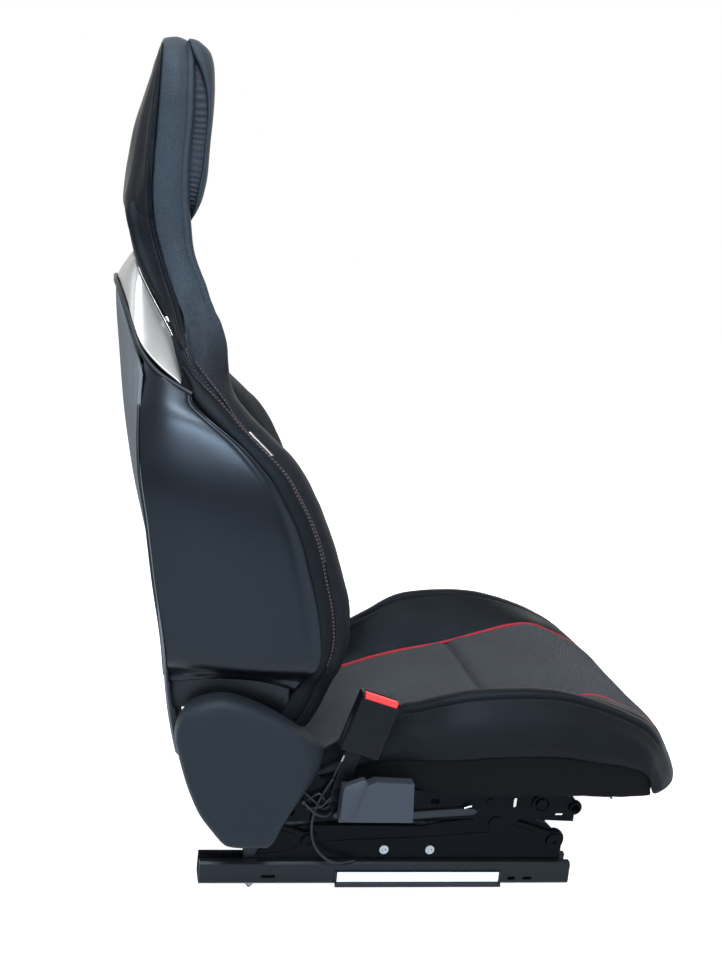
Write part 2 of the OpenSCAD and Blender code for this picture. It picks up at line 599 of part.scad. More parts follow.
// Builds in the buckle's own frame: pivot at the origin, z along the buckle
module in_buckle() translate([anchor[0], 0, anchor[1]]) rotate([0, buckle_lean, 0]) children();
buckle_z0 = 68;
buckle_y = strap_y + 14.5;
module rounded(w, t, r) {
    square([w - 2 * r, t], center = true);
    square([w, t - 2 * r], center = true);
    for (a = [-1, 1], b = [-1, 1]) translate([a * (w / 2 - r), b * (t / 2 - r)]) circle(r);
}
button_y = 5;
button_deep = 11;
tongue_y = -5.6;
module buckle_housing() color("#151515") mirror([0, 1, 0]) in_buckle() difference() {
    translate([-6, buckle_y, buckle_z0]) {
        linear_extrude(buckle_len) rounded(buckle_w, buckle_t, 4);
        translate([0, 0, -5]) linear_extrude(6) rounded(buckle_w - 12, buckle_t - 9, 3);
    }
    translate([-6, buckle_y, buckle_z0 + buckle_len]) {
        translate([-24, tongue_y - 2.5, -50]) cube([48, 5, 60]);
        translate([-24, button_y - 5.5, -button_deep - button_travel - 1])
            cube([48, 11, button_deep + 20]);
    }
    translate([-6 - 11.2, strap_y - 0.2, buckle_z0 - 6]) cube([22.4, 3.6, 26]);
}
module buckle_strap() color("#202020") mirror([0, 1, 0]) in_buckle() difference() {
    translate([0, strap_y, 0]) union() {
        along_y(0, 3.2) {
            circle(14);
            polygon([[-14, 0], [14, 0], [5, 40], [5, buckle_z0 + 19], [-17, buckle_z0 + 19],
                [-17, 40]]);
        }
    }
    translate([0, 0, 0]) rod_y([0, 0], strap_y - 1, strap_y + 5, 5 + run_gap);
}
module buckle_button() color("#e8504a") mirror([0, 1, 0]) in_buckle()
    translate([-6, buckle_y + button_y, buckle_z0 + buckle_len + 1.2]) difference() {
        translate([-23.7, -5.2, -button_deep]) cube([47.4, 10.4, button_deep]);
        translate([-15, -3, -1.2]) cube([30, 6, 3]);
    }

// ---------------------------------------------------------------- back frame
module in_back() translate([RA[0], 0, RA[1]]) rotate([0, -lean, 0]) children();
module back_side() color("black") difference() {
    union() {
        in_back() translate([0, back_y, -14]) linear_extrude(back_len + 14) {
            translate([-back_depth / 2, 0]) square([back_depth, back_t]);
            for (s = [-1, 1]) translate([s * (back_depth / 2 - back_t / 2) - back_t / 2, -16])
                square([back_t, 16 + eps]);
        }
        rod_y(RA, back_y, back_y + back_t, 46);
    }
    rod_y(RA, back_y - 1, back_y + back_t + 1, shaft_r + 1);
    in_back() for (z = [90, 170, 250, 330]) rod_y([0, z], back_y - 1, back_y + 9, 17);
    rod_y(hoop_seat, back_y - 1, back_y + 9, 4);
}
module back_side_left() back_side();
module back_side_right() mirror([0, 1, 0]) back_side();
hoop_seat = [RA[0] - sin(lean) * (back_len - 16), RA[1] + cos(lean) * (back_len - 16)];
shaft_r = 7;
// Recliner discs between the back frame and the base, with the boss that turns in the base
module recliner_discs() color("silver") pair() difference() {
    union() {
        rod_y(RA, back_y + back_t, pan_y - 0.3, disc_r);
        rod_y(RA, pan_y - 0.3 - eps, pan_out, boss_r);
        for (a = [0:60:300]) rod_y(RA + 28 * [cos(a), sin(a)], pan_y - 4, pan_y - 0.1, 3);
    }
    rod_y(RA, 0, pan_out + 9, shaft_r + run_gap);
    for (a = [30:60:330]) rod_y(RA + 27 * [cos(a), sin(a)], back_y + back_t + 4, pan_y, 4);
}
module back_crossmembers() color("black") in_back() {
    for (z = [70, back_len - 60]) difference() {
        translate([-30.5, -back_y, z]) cube([20, 2 * back_y, 42]);
        translate([-28.5, -back_y - 1, z + 2]) cube([19, 2 * back_y + 2, 38]);
    }
}
wire_rows = [110, 165, 220, 275, 330];
module back_wires() color("gray") in_back() {
    for (z = wire_rows) rod_y([12, z], -back_y, back_y, 1.6);
    for (y = [-60, 60]) translate([8.8, y, wire_rows[0] - 6]) cylinder(r = 1.6, h = 232);
}

// ---------------------------------------------------------------- backrest form
// Outlines by height: middle pad's face and rear, bolster crest, side panel's front and
// rear edge, rear panel's middle, and half widths
pad_face = [[196, -196], [230, -189], [280, -182], [340, -184], [400, -194], [450, -206],
    [500, -220], [550, -236], [600, -252], [650, -268], [700, -284], [740, -298], [765, -309],
    [785, -322], [802, -346]];
pad_rear = [[196, -212], [245, -216], [262, -222], [340, -240.6], [450, -267.2], [560, -293.8],
    [640, -311], [700, -328], [722, -350], [740, -378], [760, -391], [785, -393], [802, -386]];
crest_x = [[235, -150], [262, -126], [300, -106], [327, -97], [354, -93], [388, -94], [414, -98],
    [446, -109], [485, -123], [516, -137], [548, -153], [576, -170], [602, -191], [625, -219],
    [646, -246], [668, -266], [700, -277]];
edge_front = [[262, -176], [288, -160], [310, -143], [336, -134], [362, -134], [412, -144],
    [460, -159], [510, -177], [556, -203], [580, -220], [616, -257], [640, -292], [660, -319],
    [672, -322], [700, -325]];
edge_rear = [[147, -296], [200, -312], [262, -326], [356, -340], [435, -356], [513, -370],
    [573, -382], [641, -387], [711, -385]];
rear_x_mid = [[147, -299], [195, -313], [239, -323], [300, -334], [356, -344], [435, -361], [509, -375],
    [566, -388], [636, -402], [705, -413], [759, -420], [791, -422]];
half_w = [[262, back_half - 36], [300, back_half - 32], [322, back_half - 12],
    [345, back_half - 6], [400, back_half - 2], [500, back_half], [560, back_half - 2],
    [600, back_half - 8], [640, back_half - 20], [670, back_half - 37], [700, back_half - 56],
    [716, back_half - 66]];
back_top = RA[1] + cos(lean) * back_len;
inner_w = [[262, foam_y], [back_top - 2, foam_y], [back_top + 15, foam_y - 3.5],
    [back_top + 40, foam_y - 8], [back_top + 59, foam_y - 15], [back_top + 75, foam_y - 24]];
inner_x = [[262, 38], [back_top + 5, 38], [700, 35]];
// Rear limit of the bolster: it stops short of the collar at the shoulder
bolster_rear = [[262, -321], [356, -335], [435, -351], [513, -365], [573, -377], [625, -381],
    [650, -362], [668, -334], [700, -331]];
frame_x = [[209, RA[0]], [700, RA[0] - tan(lean) * 491]];
// Rings dip to the front at the foot of the bolsters
function dip(z, x, y) = z - 0.34 * (x - RA[0]) * max(0, 1 - (z - 262) / 80) ^ 2
    + (0.75 * (y - 172) - 3.4) * max(0, (z - 610) / 90) ^ 2;
// Outer side of the back at height z, from its rear corner at u = 0 to the panel's front edge
function side_y(z, u) = let (w = curve(half_w, z)) w - 17 * (1 - u) ^ 3 + 2 * sin(180 * u);

// Bolster's half width just inside the side panel, for the ring of height z
function under_panel(z, x) = let (d = dip(z, x, curve(half_w, z) - 8), a = curve(edge_rear, d) + 2.2,
    b = curve(edge_front, d) - soft_gap, u = max(0, min(1, (x - a) / (b - a))))
    side_y(d, u) - panel_t - 3 * soft_gap - 2.2 * exp(-((d - 323) / 18) ^ 2);

bolster_z = [262, 275, 290, 305, 322, 340, 362, 390, 420, 452, 485, 516, 545, 572, 598, 622, 645,
    665, 683, 700];
function bolster_row(z) = let (w = curve(half_w, z), xp = curve(pad_face, z) - 10,
    xb = curve(crest_x, z), xf = curve(edge_front, z), xr = curve(bolster_rear, z),
    xi = curve(frame_x, z) + curve(inner_x, z), yi = curve(inner_w, z), yc = pad_half + soft_gap,
    yk = w - 36, k = max(xr + 1, min(xi, xf - 3)),
    skin = [[xp, yc], [mix(xp, xb, 0.3), yc + 7], [mix(xp, xb, 0.75), mix(yc, yk, 0.45)],
        [xb, yk], [xb - 4, w - 17], [mix(xb, xf, 0.4), w - 4], [mix(xb, xf, 0.75), w + 1],
        [xf + 0.5, w + 0.5], [xf, under_panel(z, xf)], [mix(xf, xr, 0.33), under_panel(z, mix(xf, xr, 0.33))],
        [mix(xf, xr, 0.67), under_panel(z, mix(xf, xr, 0.67))], [xr, under_panel(z, xr)]],
    core = [[xi, yc], [xi, yc + 7], [xi, mix(yc, yi, 0.5)], [xi, yi - 9], [xi, yi - 3],
        [xi, yi], [mix(xi, k, 0.5), yi], [k, yi], [mix(k, xr, 0.1), yi], [mix(k, xr, 0.33), yi],
        [mix(k, xr, 0.67), yi], [xr, min(yi, under_panel(z, xr) - 2)]])
    [[for (p = skin) [p[0], p[1], dip(z, p[0], p[1])]], [for (p = core) [p[0], p[1], dip(z, p[0], p[1])]]];
module bolster_left() color("#1c1d20") loft([for (z = bolster_z) bolster_row(z)]);
module bolster_right() mirror([0, 1, 0]) bolster_left();

panel_u = [for (i = [0:8]) 1 - i / 8];
// The foot of the side panel arches over the recliner cover, its top follows the collar
function panel_z(u, v) = let (a = 288 + 16 * sin(180 * u), b = 711 - 39 * u ^ 0.7)
    mix(a, b, v) - 14 * (1 - v) * v * sin(90 * u);
module side_panel_left() color("#26303c") loft([for (v = [0:1/14:1.001])
    let (p = [for (u = panel_u) let (z = panel_z(u, v), a = curve(edge_rear, z) + 2.2,
        b = curve(edge_front, z) - soft_gap) [mix(a, b, u), side_y(z, u), z]])
    [p, [for (q = p) q - [0, panel_t, 0]]]]);
module side_panel_right() mirror([0, 1, 0]) side_panel_left();

// Rear panel: half width and top edge, from the middle to the side
rear_w = [[147, 198], [240, 212], [300, 219], [330, 238], [400, back_half - 18],
    [560, back_half - 18], [640, back_half - 37], [700, back_half - 62], [791, back_half - 98]];
rear_top = [[0, 791], [0.35, 787], [0.55, 775], [0.7, 756], [0.82, 735], [0.92, 714], [1, 690]];
rear_u = [for (i = [0:10]) sin(90 * i / 10)];
function rear_pt(u, v, d) = let (z = mix(147 + 40 * u ^ 6, curve(rear_top, abs(u)), v),
    w = curve(rear_w, z), k = abs(u) ^ 4)
    [mix(curve(rear_x_mid, z), curve(edge_rear, z), k) + d * (1 - 0.5 * k),
        u * (w - d * 0.85 * k), z];
rear_v = [for (j = [0:16]) j / 16];
module rear_panel() color("#3a3b3e") loft([for (v = rear_v)
    let (us = concat([for (u = reversed(rear_u)) u], [for (i = [1:10]) -rear_u[i]]))
    [[for (u = us) rear_pt(u, v, 0)], [for (u = us) rear_pt(u, v, 3.5)]]]);

pad_z = [196, 204, 225, 255, 290, 330, 372, 415, 460, 505, 550, 595, 640, 680, 703, 720, 738,
    755, 772, 786, 796, 802];
pad_w = [[196, 120], [215, 140], [250, pad_half], [252, pad_half], [668, pad_half],
    [670, pad_half], [687, 149], [703, 141], [719, 131], [738, 118], [759, 105], [782, 93],
    [796, 84], [802, 76]];
module back_pad() color("#2c2e31") loft([for (z = pad_z) let (w = curve(pad_w, z),
    x = curve(pad_face, z), b = curve(pad_rear, z),
    half = [[0, x + 3], [0.4, x + 2.4], [0.72, x + 1], [0.9, x - 2], [0.97, x - 6], [1, x - 12]])
    [[for (p = both(half)) [p[1], p[0] * w, z]], [for (p = both(half)) [b, p[0] * w, z]]]]);

// ---------------------------------------------------------------- neck and head restraint
// Path of the head band as half width by height, front and rear of the band, rear cover
arm_y = [[700, 172], [720, 160], [745, 144], [775, 125], [805, 112], [845, 104], [880, 103],
    [1000, 103]];
band_front = [[700, -274], [743, -284], [791, -305], [835, -324], [865, -330], [911, -336],
    [954, -338], [1005, -337], [1056, -339], [1100, -342]];
band_rear = [[700, -327], [745, -338], [786, -352], [812, -361], [861, -376], [888, -381],
    [923, -384], [1017, -383], [1085, -381], [1100, -374]];
cover_rear = [[700, -333], [722, -343], [736, -348], [763, -364], [782, -376], [804, -387],
    [820, -393], [846, -404], [880, -408]];
top_y = head_top - band_w / 2;
corner = 52;
arm_in = head_half - band_w / 2;
arch = concat(
    [for (z = [700, 716, 732, 750, 770, 792, 816, 842, 870, 900, 935, 970, 1000]) [curve(arm_y, z)
        * arm_in / 103, z]],
    [for (a = [0:15:90]) [arm_in - corner + corner * cos(a), top_y - corner + corner * sin(a)]],
    [[0, top_y]]);
arch_all = concat(arch, [for (i = [len(arch) - 2:-1:0]) [-arch[i][0], arch[i][1]]]);
function arch_n(i) = let (n = len(arch_all), t = unit(arch_all[min(i + 1, n - 1)]
    - arch_all[max(i - 1, 0)])) [t[1], -t[0]];
// Point of a band section: x along the seat, r out from the path
function band_pt(i, x, r) = let (p = arch_all[i] + r * arch_n(i)) [x, p[0], p[1]];
function band_row(i) = let (z = arch_all[i][1], f = curve(band_front, z), b = curve(band_rear, z),
    R = band_w / 2, q = R - band_wall)
    [[for (p = [[b, q], [f - 15, q], [f - 12, q - 2], [f - 11, q - 5], [f - 11, 5 - q],
            [f - 12, 2 - q], [f - 15, -q], [b, -q]]) band_pt(i, p[0], p[1])],
        [for (p = [[b, R], [f - 9, R], [f - 2, R - 3], [f, R - 9], [f, 9 - R], [f - 2, 3 - R],
            [f - 9, -R], [b, -R]]) band_pt(i, p[0], p[1])]];
module head_band() color("#1a1b1e") loft([for (i = [0:len(arch_all) - 1]) band_row(i)]);

hoop_x = [[600, frame_x[1][1] + 24], [700, -318], [745, -322], [791, -332], [861, -355],
    [1000, -362], [1100, -362]];
hoop_low = [[back_y - hoop_r - 0.3, hoop_seat[1] - 30], [back_y - hoop_r - 0.3, hoop_seat[1] + 6],
    [rail_y - 8, 672]];
hoop_half = concat(hoop_low, arch);
hoop_all = concat(hoop_half, [for (i = [len(hoop_half) - 2:-1:0]) [-hoop_half[i][0], hoop_half[i][1]]]);
module frame_hoop() color("black") swept([for (p = hoop_all) [curve(hoop_x, p[1]), p[0], p[1]]],
    hoop_r, 8);

// Front pad of the head restraint, with a plug that fills the band
head_face = [[880, -333], [884, -327], [896, -320], [912, -316], [939, -313], [985, -311],
    [1031, -311], [1060, -312], [1078, -314], [1092, -320], [1103, -334]];
head_pad_z = [880, 884, 892, 908, 935, 970, 1005, 1035, 1060, 1078, 1092, 1103];
head_pad_w = [[880, 88], [888, 98], [900, 108], [1060, 112], [1085, 108], [1099, 92], [1103, 80]];
plug_w = arm_in - band_w / 2 - 1.5;
module head_pad() color("#1a1b1e") {
    loft([for (z = head_pad_z) let (w = curve(head_pad_w, z),
        x = curve(head_face, z), f = curve(band_front, z) + 1,
        face = [[0, x], [0.45 * w, mix(f, x, 0.98)], [0.8 * w, mix(f, x, 0.86)],
            [w - 6, mix(f, x, 0.62)], [w, mix(f, x, 0.36)], [w - 4, mix(f, x, 0.18)],
            [w - 9, mix(f, x, 0.07)]],
        rear = [for (p = face) [min(p[0], w - 10), f]])
        [[for (q = both(face)) [q[1], q[0], z]], [for (q = both(rear)) [q[1], q[0], z]]]]);
    along_x(-381, -329) polygon([[-plug_w, 890], [plug_w, 890], [plug_w, top_y - corner - 3],
        [plug_w - 20, top_y - corner + 24], [20 - plug_w, top_y - corner + 24],
        [-plug_w, top_y - corner - 3]]);
}

// Leather cover behind the band: the neck strips and the ridged back of the head
head_bulge = [[872, -408], [880, -414], [894, -419], [915, -418], [946, -416], [988, -411],
    [1035, -399], [1065, -390], [1088, -384]];
bulge_z = [872, 882, 894, 912, 940, 970, 1000, 1030, 1058, 1078, 1094];
bulge_w = [[872, 118], [900, 122], [1050, head_half - 3], [1078, head_half - 14],
    [1094, head_half - 40]];
module neck_strip() loft([for (i = [0:8]) let (z = arch_all[i][1], b = curve(band_rear, z) - soft_gap,
    r = curve(cover_rear, z), R = band_w / 2 - 1)
    [[for (p = [[b, R], [mix(b, r, 0.6), R - 1], [r, R - 7], [r, 7 - R], [mix(b, r, 0.6), 1 - R]])
            band_pt(i, p[0], p[1])],
        [for (p = [[b, R - 2], [b - 0.2, R - 5], [b - 0.2, 8], [b - 0.2, -8], [b, 2 - R]])
            band_pt(i, p[0], p[1])]]]);
module head_back_cover() color("#2a211f") {
    pair() neck_strip();
    translate([0, 0, soft_gap]) loft([for (z = bulge_z) let (w = curve(bulge_w, z),
        r = curve(head_bulge, z), b = curve(band_rear, min(z, 1030)) - soft_gap,
        back = [[0, r], [0.3 * w, r + 1], [0.6 * w, mix(b, r, 0.9)], [0.82 * w, mix(b, r, 0.66)],
            [0.95 * w, mix(b, r, 0.34)], [w, mix(b, r, 0.1)]])
        [[for (q = both([for (p = back) [p[0], b]])) [q[1], q[0], z]],
            [for (q = both(back)) [q[1], q[0], z]]]]);
}

// Satin collar round the rear of the neck: lower and upper edge as [x, y, z]
collar_low = [[-420, 0, 793], [-418, 50, 792], [-413, 96, 784], [-406.5, 130, 771], [-399, 162, 750],
    [-386, 188, 725], [-363, 201, 702], [-336, 212, 684]];
collar_up = [[-400, 0, 822], [-399.5, 46, 823], [-399.5, 86, 822], [-392, 112, 806],
    [-379, 128, 783], [-364.5, 142, 760], [-347, 164, 730], [-335, 192, 688]];
function collar_out(i) = let (n = len(collar_low), a = collar_low[max(i - 1, 0)],
    b = collar_low[min(i + 1, n - 1)], v = collar_up[i] - collar_low[i],
    t = i == 0 ? [0, 1, 0] : b - a) -unit(cross(t, v));
function collar_row(i, s) = let (o = collar_out(i), a = collar_low[i], b = collar_up[i],
    m = (a + b) / 2 + o * 2, f = function (p) [p[0], s * p[1], p[2]])
    [[for (p = [a, m, b]) f(p)], [for (p = [a, m, b]) f(p - o * collar_t)]];
module trim_collar() color("silver") loft([for (i = [-7:7]) collar_row(abs(i), i < 0 ? -1 : 1)]);

// ---------------------------------------------------------------- outer controls
module recliner_shaft() color("silver") rod_y(RA, -pan_out - 3, cover_out + 2, shaft_r);
module recline_wheel() color("#2b2c2f") difference() {
    union() {
        rod_y(RA, cover_out + 2, cover_out + 16, wheel_r);
        rod_y(RA, cover_out + 16 - eps, cover_out + 22, wheel_r - 6);
    }
    for (a = [0:30:330]) rod_y(RA + (wheel_r + 2) * [cos(a), sin(a)], cover_out, cover_out + 30, 4.5);
    rod_y(RA, cover_out + 18, cover_out + 30, wheel_r - 12);
}
lever_y = cover_out - 6;
module height_lever() color("#2b2c2f") mirror([0, 0, 0]) {
    rod_y(lever_p, pan_y - 2, pan_out + 17, 5 - run_gap);
    rod_y(lever_p, pan_out + 17, lever_y + 8, 12);
    along_y(lever_y, lever_y + 8) {
        polygon([lever_p + [0, -9], lever_p + [lever_len * 0.6, -11], lever_p + [lever_len, -12],
            lever_p + [lever_len, 9], lever_p + [lever_len * 0.6, 7], lever_p + [0, 9]]);
        translate(lever_p + [lever_len, -1.5]) circle(10.5);
    }
}

lower_rail_right();
lower_rail_left();
locating_pins();
cable_duct();
label_plate();
rail_ball_cages();
upper_rail_right();
upper_rail_left();
risers();
riser_bolts();
link_bolts();
release_bar();
release_grip();
rail_locks();
front_links();
front_torsion_tube();
rear_links();
rear_torsion_tube();
base_side_right();
base_side_left();
front_cross_tube();
rear_cross_tube();
seat_pan();
suspension_wires();
cushion();
cushion_skirt();
recliner_cover_right();
recliner_cover_left();
connector_box();
wiring_guide();
outer_valance();
buckle_cable();
buckle_anchor();
back_side_right();
back_side_left();
recliner_discs();
back_crossmembers();
back_wires();
frame_hoop();
back_pad();
bolster_right();
bolster_left();
side_panel_right();
side_panel_left();
rear_panel();
trim_collar();
head_band();
head_pad();
head_back_cover();
recliner_shaft();
recline_wheel();
height_lever();
buckle_housing();
buckle_strap();
buckle_button();
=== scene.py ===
"""Sport front seat with an integral head restraint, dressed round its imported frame.

Lengths in the shape functions are millimetres in the row's frame: x forward, y to the seat's left, z up.
Meshes and cords are written in metres.
"""
import bpy
import numpy as np
from mathutils import Matrix


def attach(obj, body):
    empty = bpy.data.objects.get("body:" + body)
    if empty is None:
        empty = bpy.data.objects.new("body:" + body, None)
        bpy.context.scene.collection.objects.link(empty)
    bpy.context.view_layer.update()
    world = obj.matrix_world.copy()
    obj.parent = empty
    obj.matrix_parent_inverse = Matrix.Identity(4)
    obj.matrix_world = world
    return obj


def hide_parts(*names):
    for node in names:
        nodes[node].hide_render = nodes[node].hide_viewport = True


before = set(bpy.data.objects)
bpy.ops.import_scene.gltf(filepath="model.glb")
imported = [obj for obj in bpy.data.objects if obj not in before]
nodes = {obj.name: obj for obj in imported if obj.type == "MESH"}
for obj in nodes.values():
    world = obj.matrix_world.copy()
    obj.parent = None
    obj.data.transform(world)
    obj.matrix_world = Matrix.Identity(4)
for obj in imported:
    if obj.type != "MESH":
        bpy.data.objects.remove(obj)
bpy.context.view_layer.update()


# ------------------------------------------------------------------ camera, lights, floor
# Camera: place in mm; azimuth, pitch and roll in degrees; focal length and the long side in pixels
CAMERA_PLACE, CAMERA_TURN = (-427, -1820, 931), (-11.62, 12.5, 5.95)
FOCAL, LONG_SIDE, SENSOR_MM = 1300, 972, 36
# Lamps: name, place and target in mm, size (wide, high) in mm, watts, colour
LAMPS = [("lamp_key", (-450, -1950, 2300), (-250, -200, 600), (1000, 420), 56, (0.86, 0.93, 1)),
         ("lamp_side", (-420, -2600, 1480), (-200, -200, 620), (1300, 460), 62, (0.74, 0.86, 1)),
         ("lamp_above", (-600, -480, 2500), (-20, -200, 300), (1000, 420), 36, (0.9, 0.95, 1)),
         ("lamp_behind", (-1900, 100, 1500), (-300, 0, 600), (700, 1500), 10, (0.9, 0.96, 1)),
         ("lamp_front", (1900, -500, 1200), (100, 0, 350), (700, 1200), 2.5, (1, 0.99, 0.98))]
# World: colour and strength of the light that it gives, and of what the camera and mirrors see of it
WORLD_LIGHT, WORLD_SEEN = ((0.92, 0.96, 1, 1), 0.3), ((1, 1, 1, 1), 1.0)
# Floor: half its side and its height in metres, and how much it glows to the camera
FLOOR_HALF, FLOOR_Z, FLOOR_GLOW = 9.0, -0.0145, 0.8


def camera_axes(azimuth, pitch, roll):
    """Right, up and forward of the camera: forward is turned and pitched down, then both others roll."""
    a, p, r = np.radians([azimuth, pitch, roll])
    ahead = np.array([-np.sin(a) * np.cos(p), np.cos(a) * np.cos(p), -np.sin(p)])
    right = np.array([np.cos(a), np.sin(a), 0])
    up = np.cross(right, ahead)
    return right * np.cos(r) + up * np.sin(r), up * np.cos(r) - right * np.sin(r), ahead


def placed(name, data, place, right, up, ahead):
    """New camera or lamp at a place in mm, looking ahead."""
    obj = bpy.data.objects.new(name, data)
    turn = np.eye(4)
    turn[:3] = np.stack([right, up, -np.asarray(ahead), np.asarray(place) / 1000], 1)
    obj.matrix_world = Matrix(turn.tolist())
    bpy.context.collection.objects.link(obj)
    return obj


def add_camera():
    """The camera sees the seat's right side, from slightly behind and above."""
    data = bpy.data.cameras.new("camera")
    data.sensor_fit, data.sensor_width, data.lens = "AUTO", SENSOR_MM, SENSOR_MM * FOCAL / LONG_SIDE
    data.clip_start, data.clip_end = 0.05, 60
    bpy.context.scene.camera = placed("camera", data, CAMERA_PLACE, *camera_axes(*CAMERA_TURN))


def add_lamp(name, place, target, size, power, colour):
    """Area lamp of size (wide, high) mm at place, facing target."""
    data = bpy.data.lights.new(name, "AREA")
    data.shape, data.size, data.size_y = "RECTANGLE", size[0] / 1000, size[1] / 1000
    data.energy, data.color = power, colour
    ahead = unit(np.subtract(target, place).astype(float))
    right = unit(np.cross(ahead, (0, 0, 1)))
    placed(name, data, place, right, np.cross(right, ahead), ahead)


def add_studio():
    """Two lamps on the camera's side, one above, a weak one at each end, and a dim world seen as white."""
    for lamp in LAMPS:
        add_lamp(*lamp)
    world = bpy.data.worlds.new("studio")
    world.use_nodes = True
    bpy.context.scene.world = world
    tree = world.node_tree
    tree.nodes.clear()
    ray = put(tree, "LightPath").outputs
    mirrored = math_node(tree, "MAXIMUM", ray["Is Glossy Ray"], ray["Is Transmission Ray"])
    seen = math_node(tree, "MAXIMUM", ray["Is Camera Ray"], mirrored)
    light, white = (put(tree, "Background", [("Color", colour), ("Strength", strength)]).outputs[0]
                    for colour, strength in (WORLD_LIGHT, WORLD_SEEN))
    both = put(tree, "MixShader", [], [(0, seen), (1, light), (2, white)])
    put(tree, "OutputWorld", [], [(0, both.outputs[0])])


def add_floor():
    """Pale floor just under the locating pins: white to the camera, with the seat's shadow on it."""
    s = FLOOR_HALF
    data = bpy.data.meshes.new("floor")
    data.from_pydata([(-s, -s, 0), (s, -s, 0), (s, s, 0), (-s, s, 0)], [], [(0, 1, 2, 3)])
    data.transform(Matrix.Translation((0, 0, FLOOR_Z)))
    floor = bpy.data.objects.new("floor", data)
    bpy.context.collection.objects.link(floor)
    paint, tree, skin = material("floor_white")
    constants(skin, Base_Color=(0.9, 0.9, 0.9, 1), Emission_Color=(1, 1, 1, 1))
    constants(skin, Roughness=1, Specular_IOR_Level=0)
    glow = math_node(tree, "MULTIPLY", put(tree, "LightPath").outputs["Is Camera Ray"], FLOOR_GLOW)
    tree.links.new(glow, skin.inputs["Emission Strength"])
    data.materials.append(paint)


# ------------------------------------------------------------------ materials
def tone(r, g, b):
    """Colour written as 0 to 255 screen values, as linear light."""
    c = np.array([r, g, b]) / 255
    return tuple(np.where(c < 0.04045, c / 12.92, ((c + 0.055) / 1.055) ** 2.4)) + (1.0,)


def material(name):
    """New material: returns it, its node tree and its surface shader."""
    new = bpy.data.materials.new(name)
    new.use_nodes = True
    return new, new.node_tree, new.node_tree.nodes["Principled BSDF"]


def put(tree, kind, values=(), links=(), **settings):
    """Adds a node with its settings; values and links pair an input's name or number with what it gets."""
    n = tree.nodes.new("ShaderNode" + kind)
    for key, value in settings.items():
        setattr(n, key, value)
    for key, value in values:
        n.inputs[key].default_value = value
    for key, socket in links:
        tree.links.new(socket, n.inputs[key])
    return n


def group(name, inputs, outputs):
    """New node group with a Vector input, named float inputs with their defaults, and named float outputs."""
    g = bpy.data.node_groups.new(name, "ShaderNodeTree")
    g.interface.new_socket("Vector", in_out="INPUT", socket_type="NodeSocketVector")
    for key, value in inputs.items():
        g.interface.new_socket(key, in_out="INPUT", socket_type="NodeSocketFloat").default_value = value
    for key in outputs:
        g.interface.new_socket(key, in_out="OUTPUT", socket_type="NodeSocketFloat")
    return g, g.nodes.new("NodeGroupInput"), g.nodes.new("NodeGroupOutput")


def math_node(tree, op, a, b=None, c=None):
    """Math node; a, b and c are numbers or sockets."""
    n = tree.nodes.new("ShaderNodeMath")
    n.operation = op
    for i, x in enumerate((a, b, c)):
        if isinstance(x, (int, float)):
            n.inputs[i].default_value = x
        elif x is not None:
            tree.links.new(x, n.inputs[i])
    return n.outputs[0]


def noise(tree, where, scale, detail, rough=0.5):
    """Noise texture read at a coordinate socket, its scale to a metre."""
    return put(tree, "TexNoise", [("Scale", scale), ("Detail", detail), ("Roughness", rough)],
               [("Vector", where)])


def part(tree, vector, axis):
    """One part, X, Y or Z, of a vector socket."""
    return put(tree, "SeparateXYZ", [], [("Vector", vector)]).outputs[axis]


def make_grain():
    """Leather or moulded grain: Height is cells, cracks between them and a fine noise, Wear a slow mask."""
    g, i, o = group("grain", {"Cells": 700.0, "Crack": 0.6, "Slow": 9.0}, ["Height", "Wear"])
    at = i.outputs["Vector"]
    push = put(g, "VectorMath", [("Scale", 0.0022)], [(0, noise(g, at, 160.0, 1.0).outputs["Color"])],
               operation="SCALE")
    where = put(g, "VectorMath", [], [(0, at), (1, push.outputs[0])], operation="ADD")
    cells = put(g, "TexVoronoi", [], [("Vector", where.outputs[0]), ("Scale", i.outputs["Cells"])],
                feature="DISTANCE_TO_EDGE")
    crack = put(g, "MapRange", [("From Max", 0.22), ("To Max", 1.0)], [("Value", cells.outputs["Distance"])],
                interpolation_type="SMOOTHSTEP")
    deep = math_node(g, "MULTIPLY", crack.outputs[0], i.outputs["Crack"])
    fine = noise(g, at, 1900.0, 2.0).outputs["Fac"]
    g.links.new(math_node(g, "MULTIPLY_ADD", fine, 0.35, deep), o.inputs["Height"])
    slow = noise(g, at, 9.0, 4.0, 0.62)
    g.links.new(i.outputs["Slow"], slow.inputs["Scale"])
    g.links.new(slow.outputs["Fac"], o.inputs["Wear"])
    return g


FULL_TURN = 6.2832


def make_weave():
    """Diagonal rib cloth: Height is two crossed rows of threads, Pitch to a metre, Tint their mask."""
    g, i, o = group("weave", {"Pitch": 420.0, "Slant": 0.5}, ["Height", "Tint"])
    at = i.outputs["Vector"]
    parts = put(g, "SeparateXYZ", [], [("Vector", at)]).outputs
    u, v = (math_node(g, "MULTIPLY", parts[axis], i.outputs["Pitch"]) for axis in "XY")
    lean = math_node(g, "MULTIPLY_ADD", v, i.outputs["Slant"], u)
    cross = math_node(g, "MULTIPLY_ADD", u, -0.5, v)
    rib, over = (math_node(g, "SINE", math_node(g, "MULTIPLY", x, FULL_TURN)) for x in (lean, cross))
    high = math_node(g, "MULTIPLY_ADD", over, 0.45, rib)
    fluff = noise(g, at, 2600.0, 2.0).outputs["Fac"]
    g.links.new(math_node(g, "MULTIPLY_ADD", fluff, 0.8, high), o.inputs["Height"])
    g.links.new(ranged(g, high, 0.0, 1.0, -0.9, 1.3), o.inputs["Tint"])
    return g


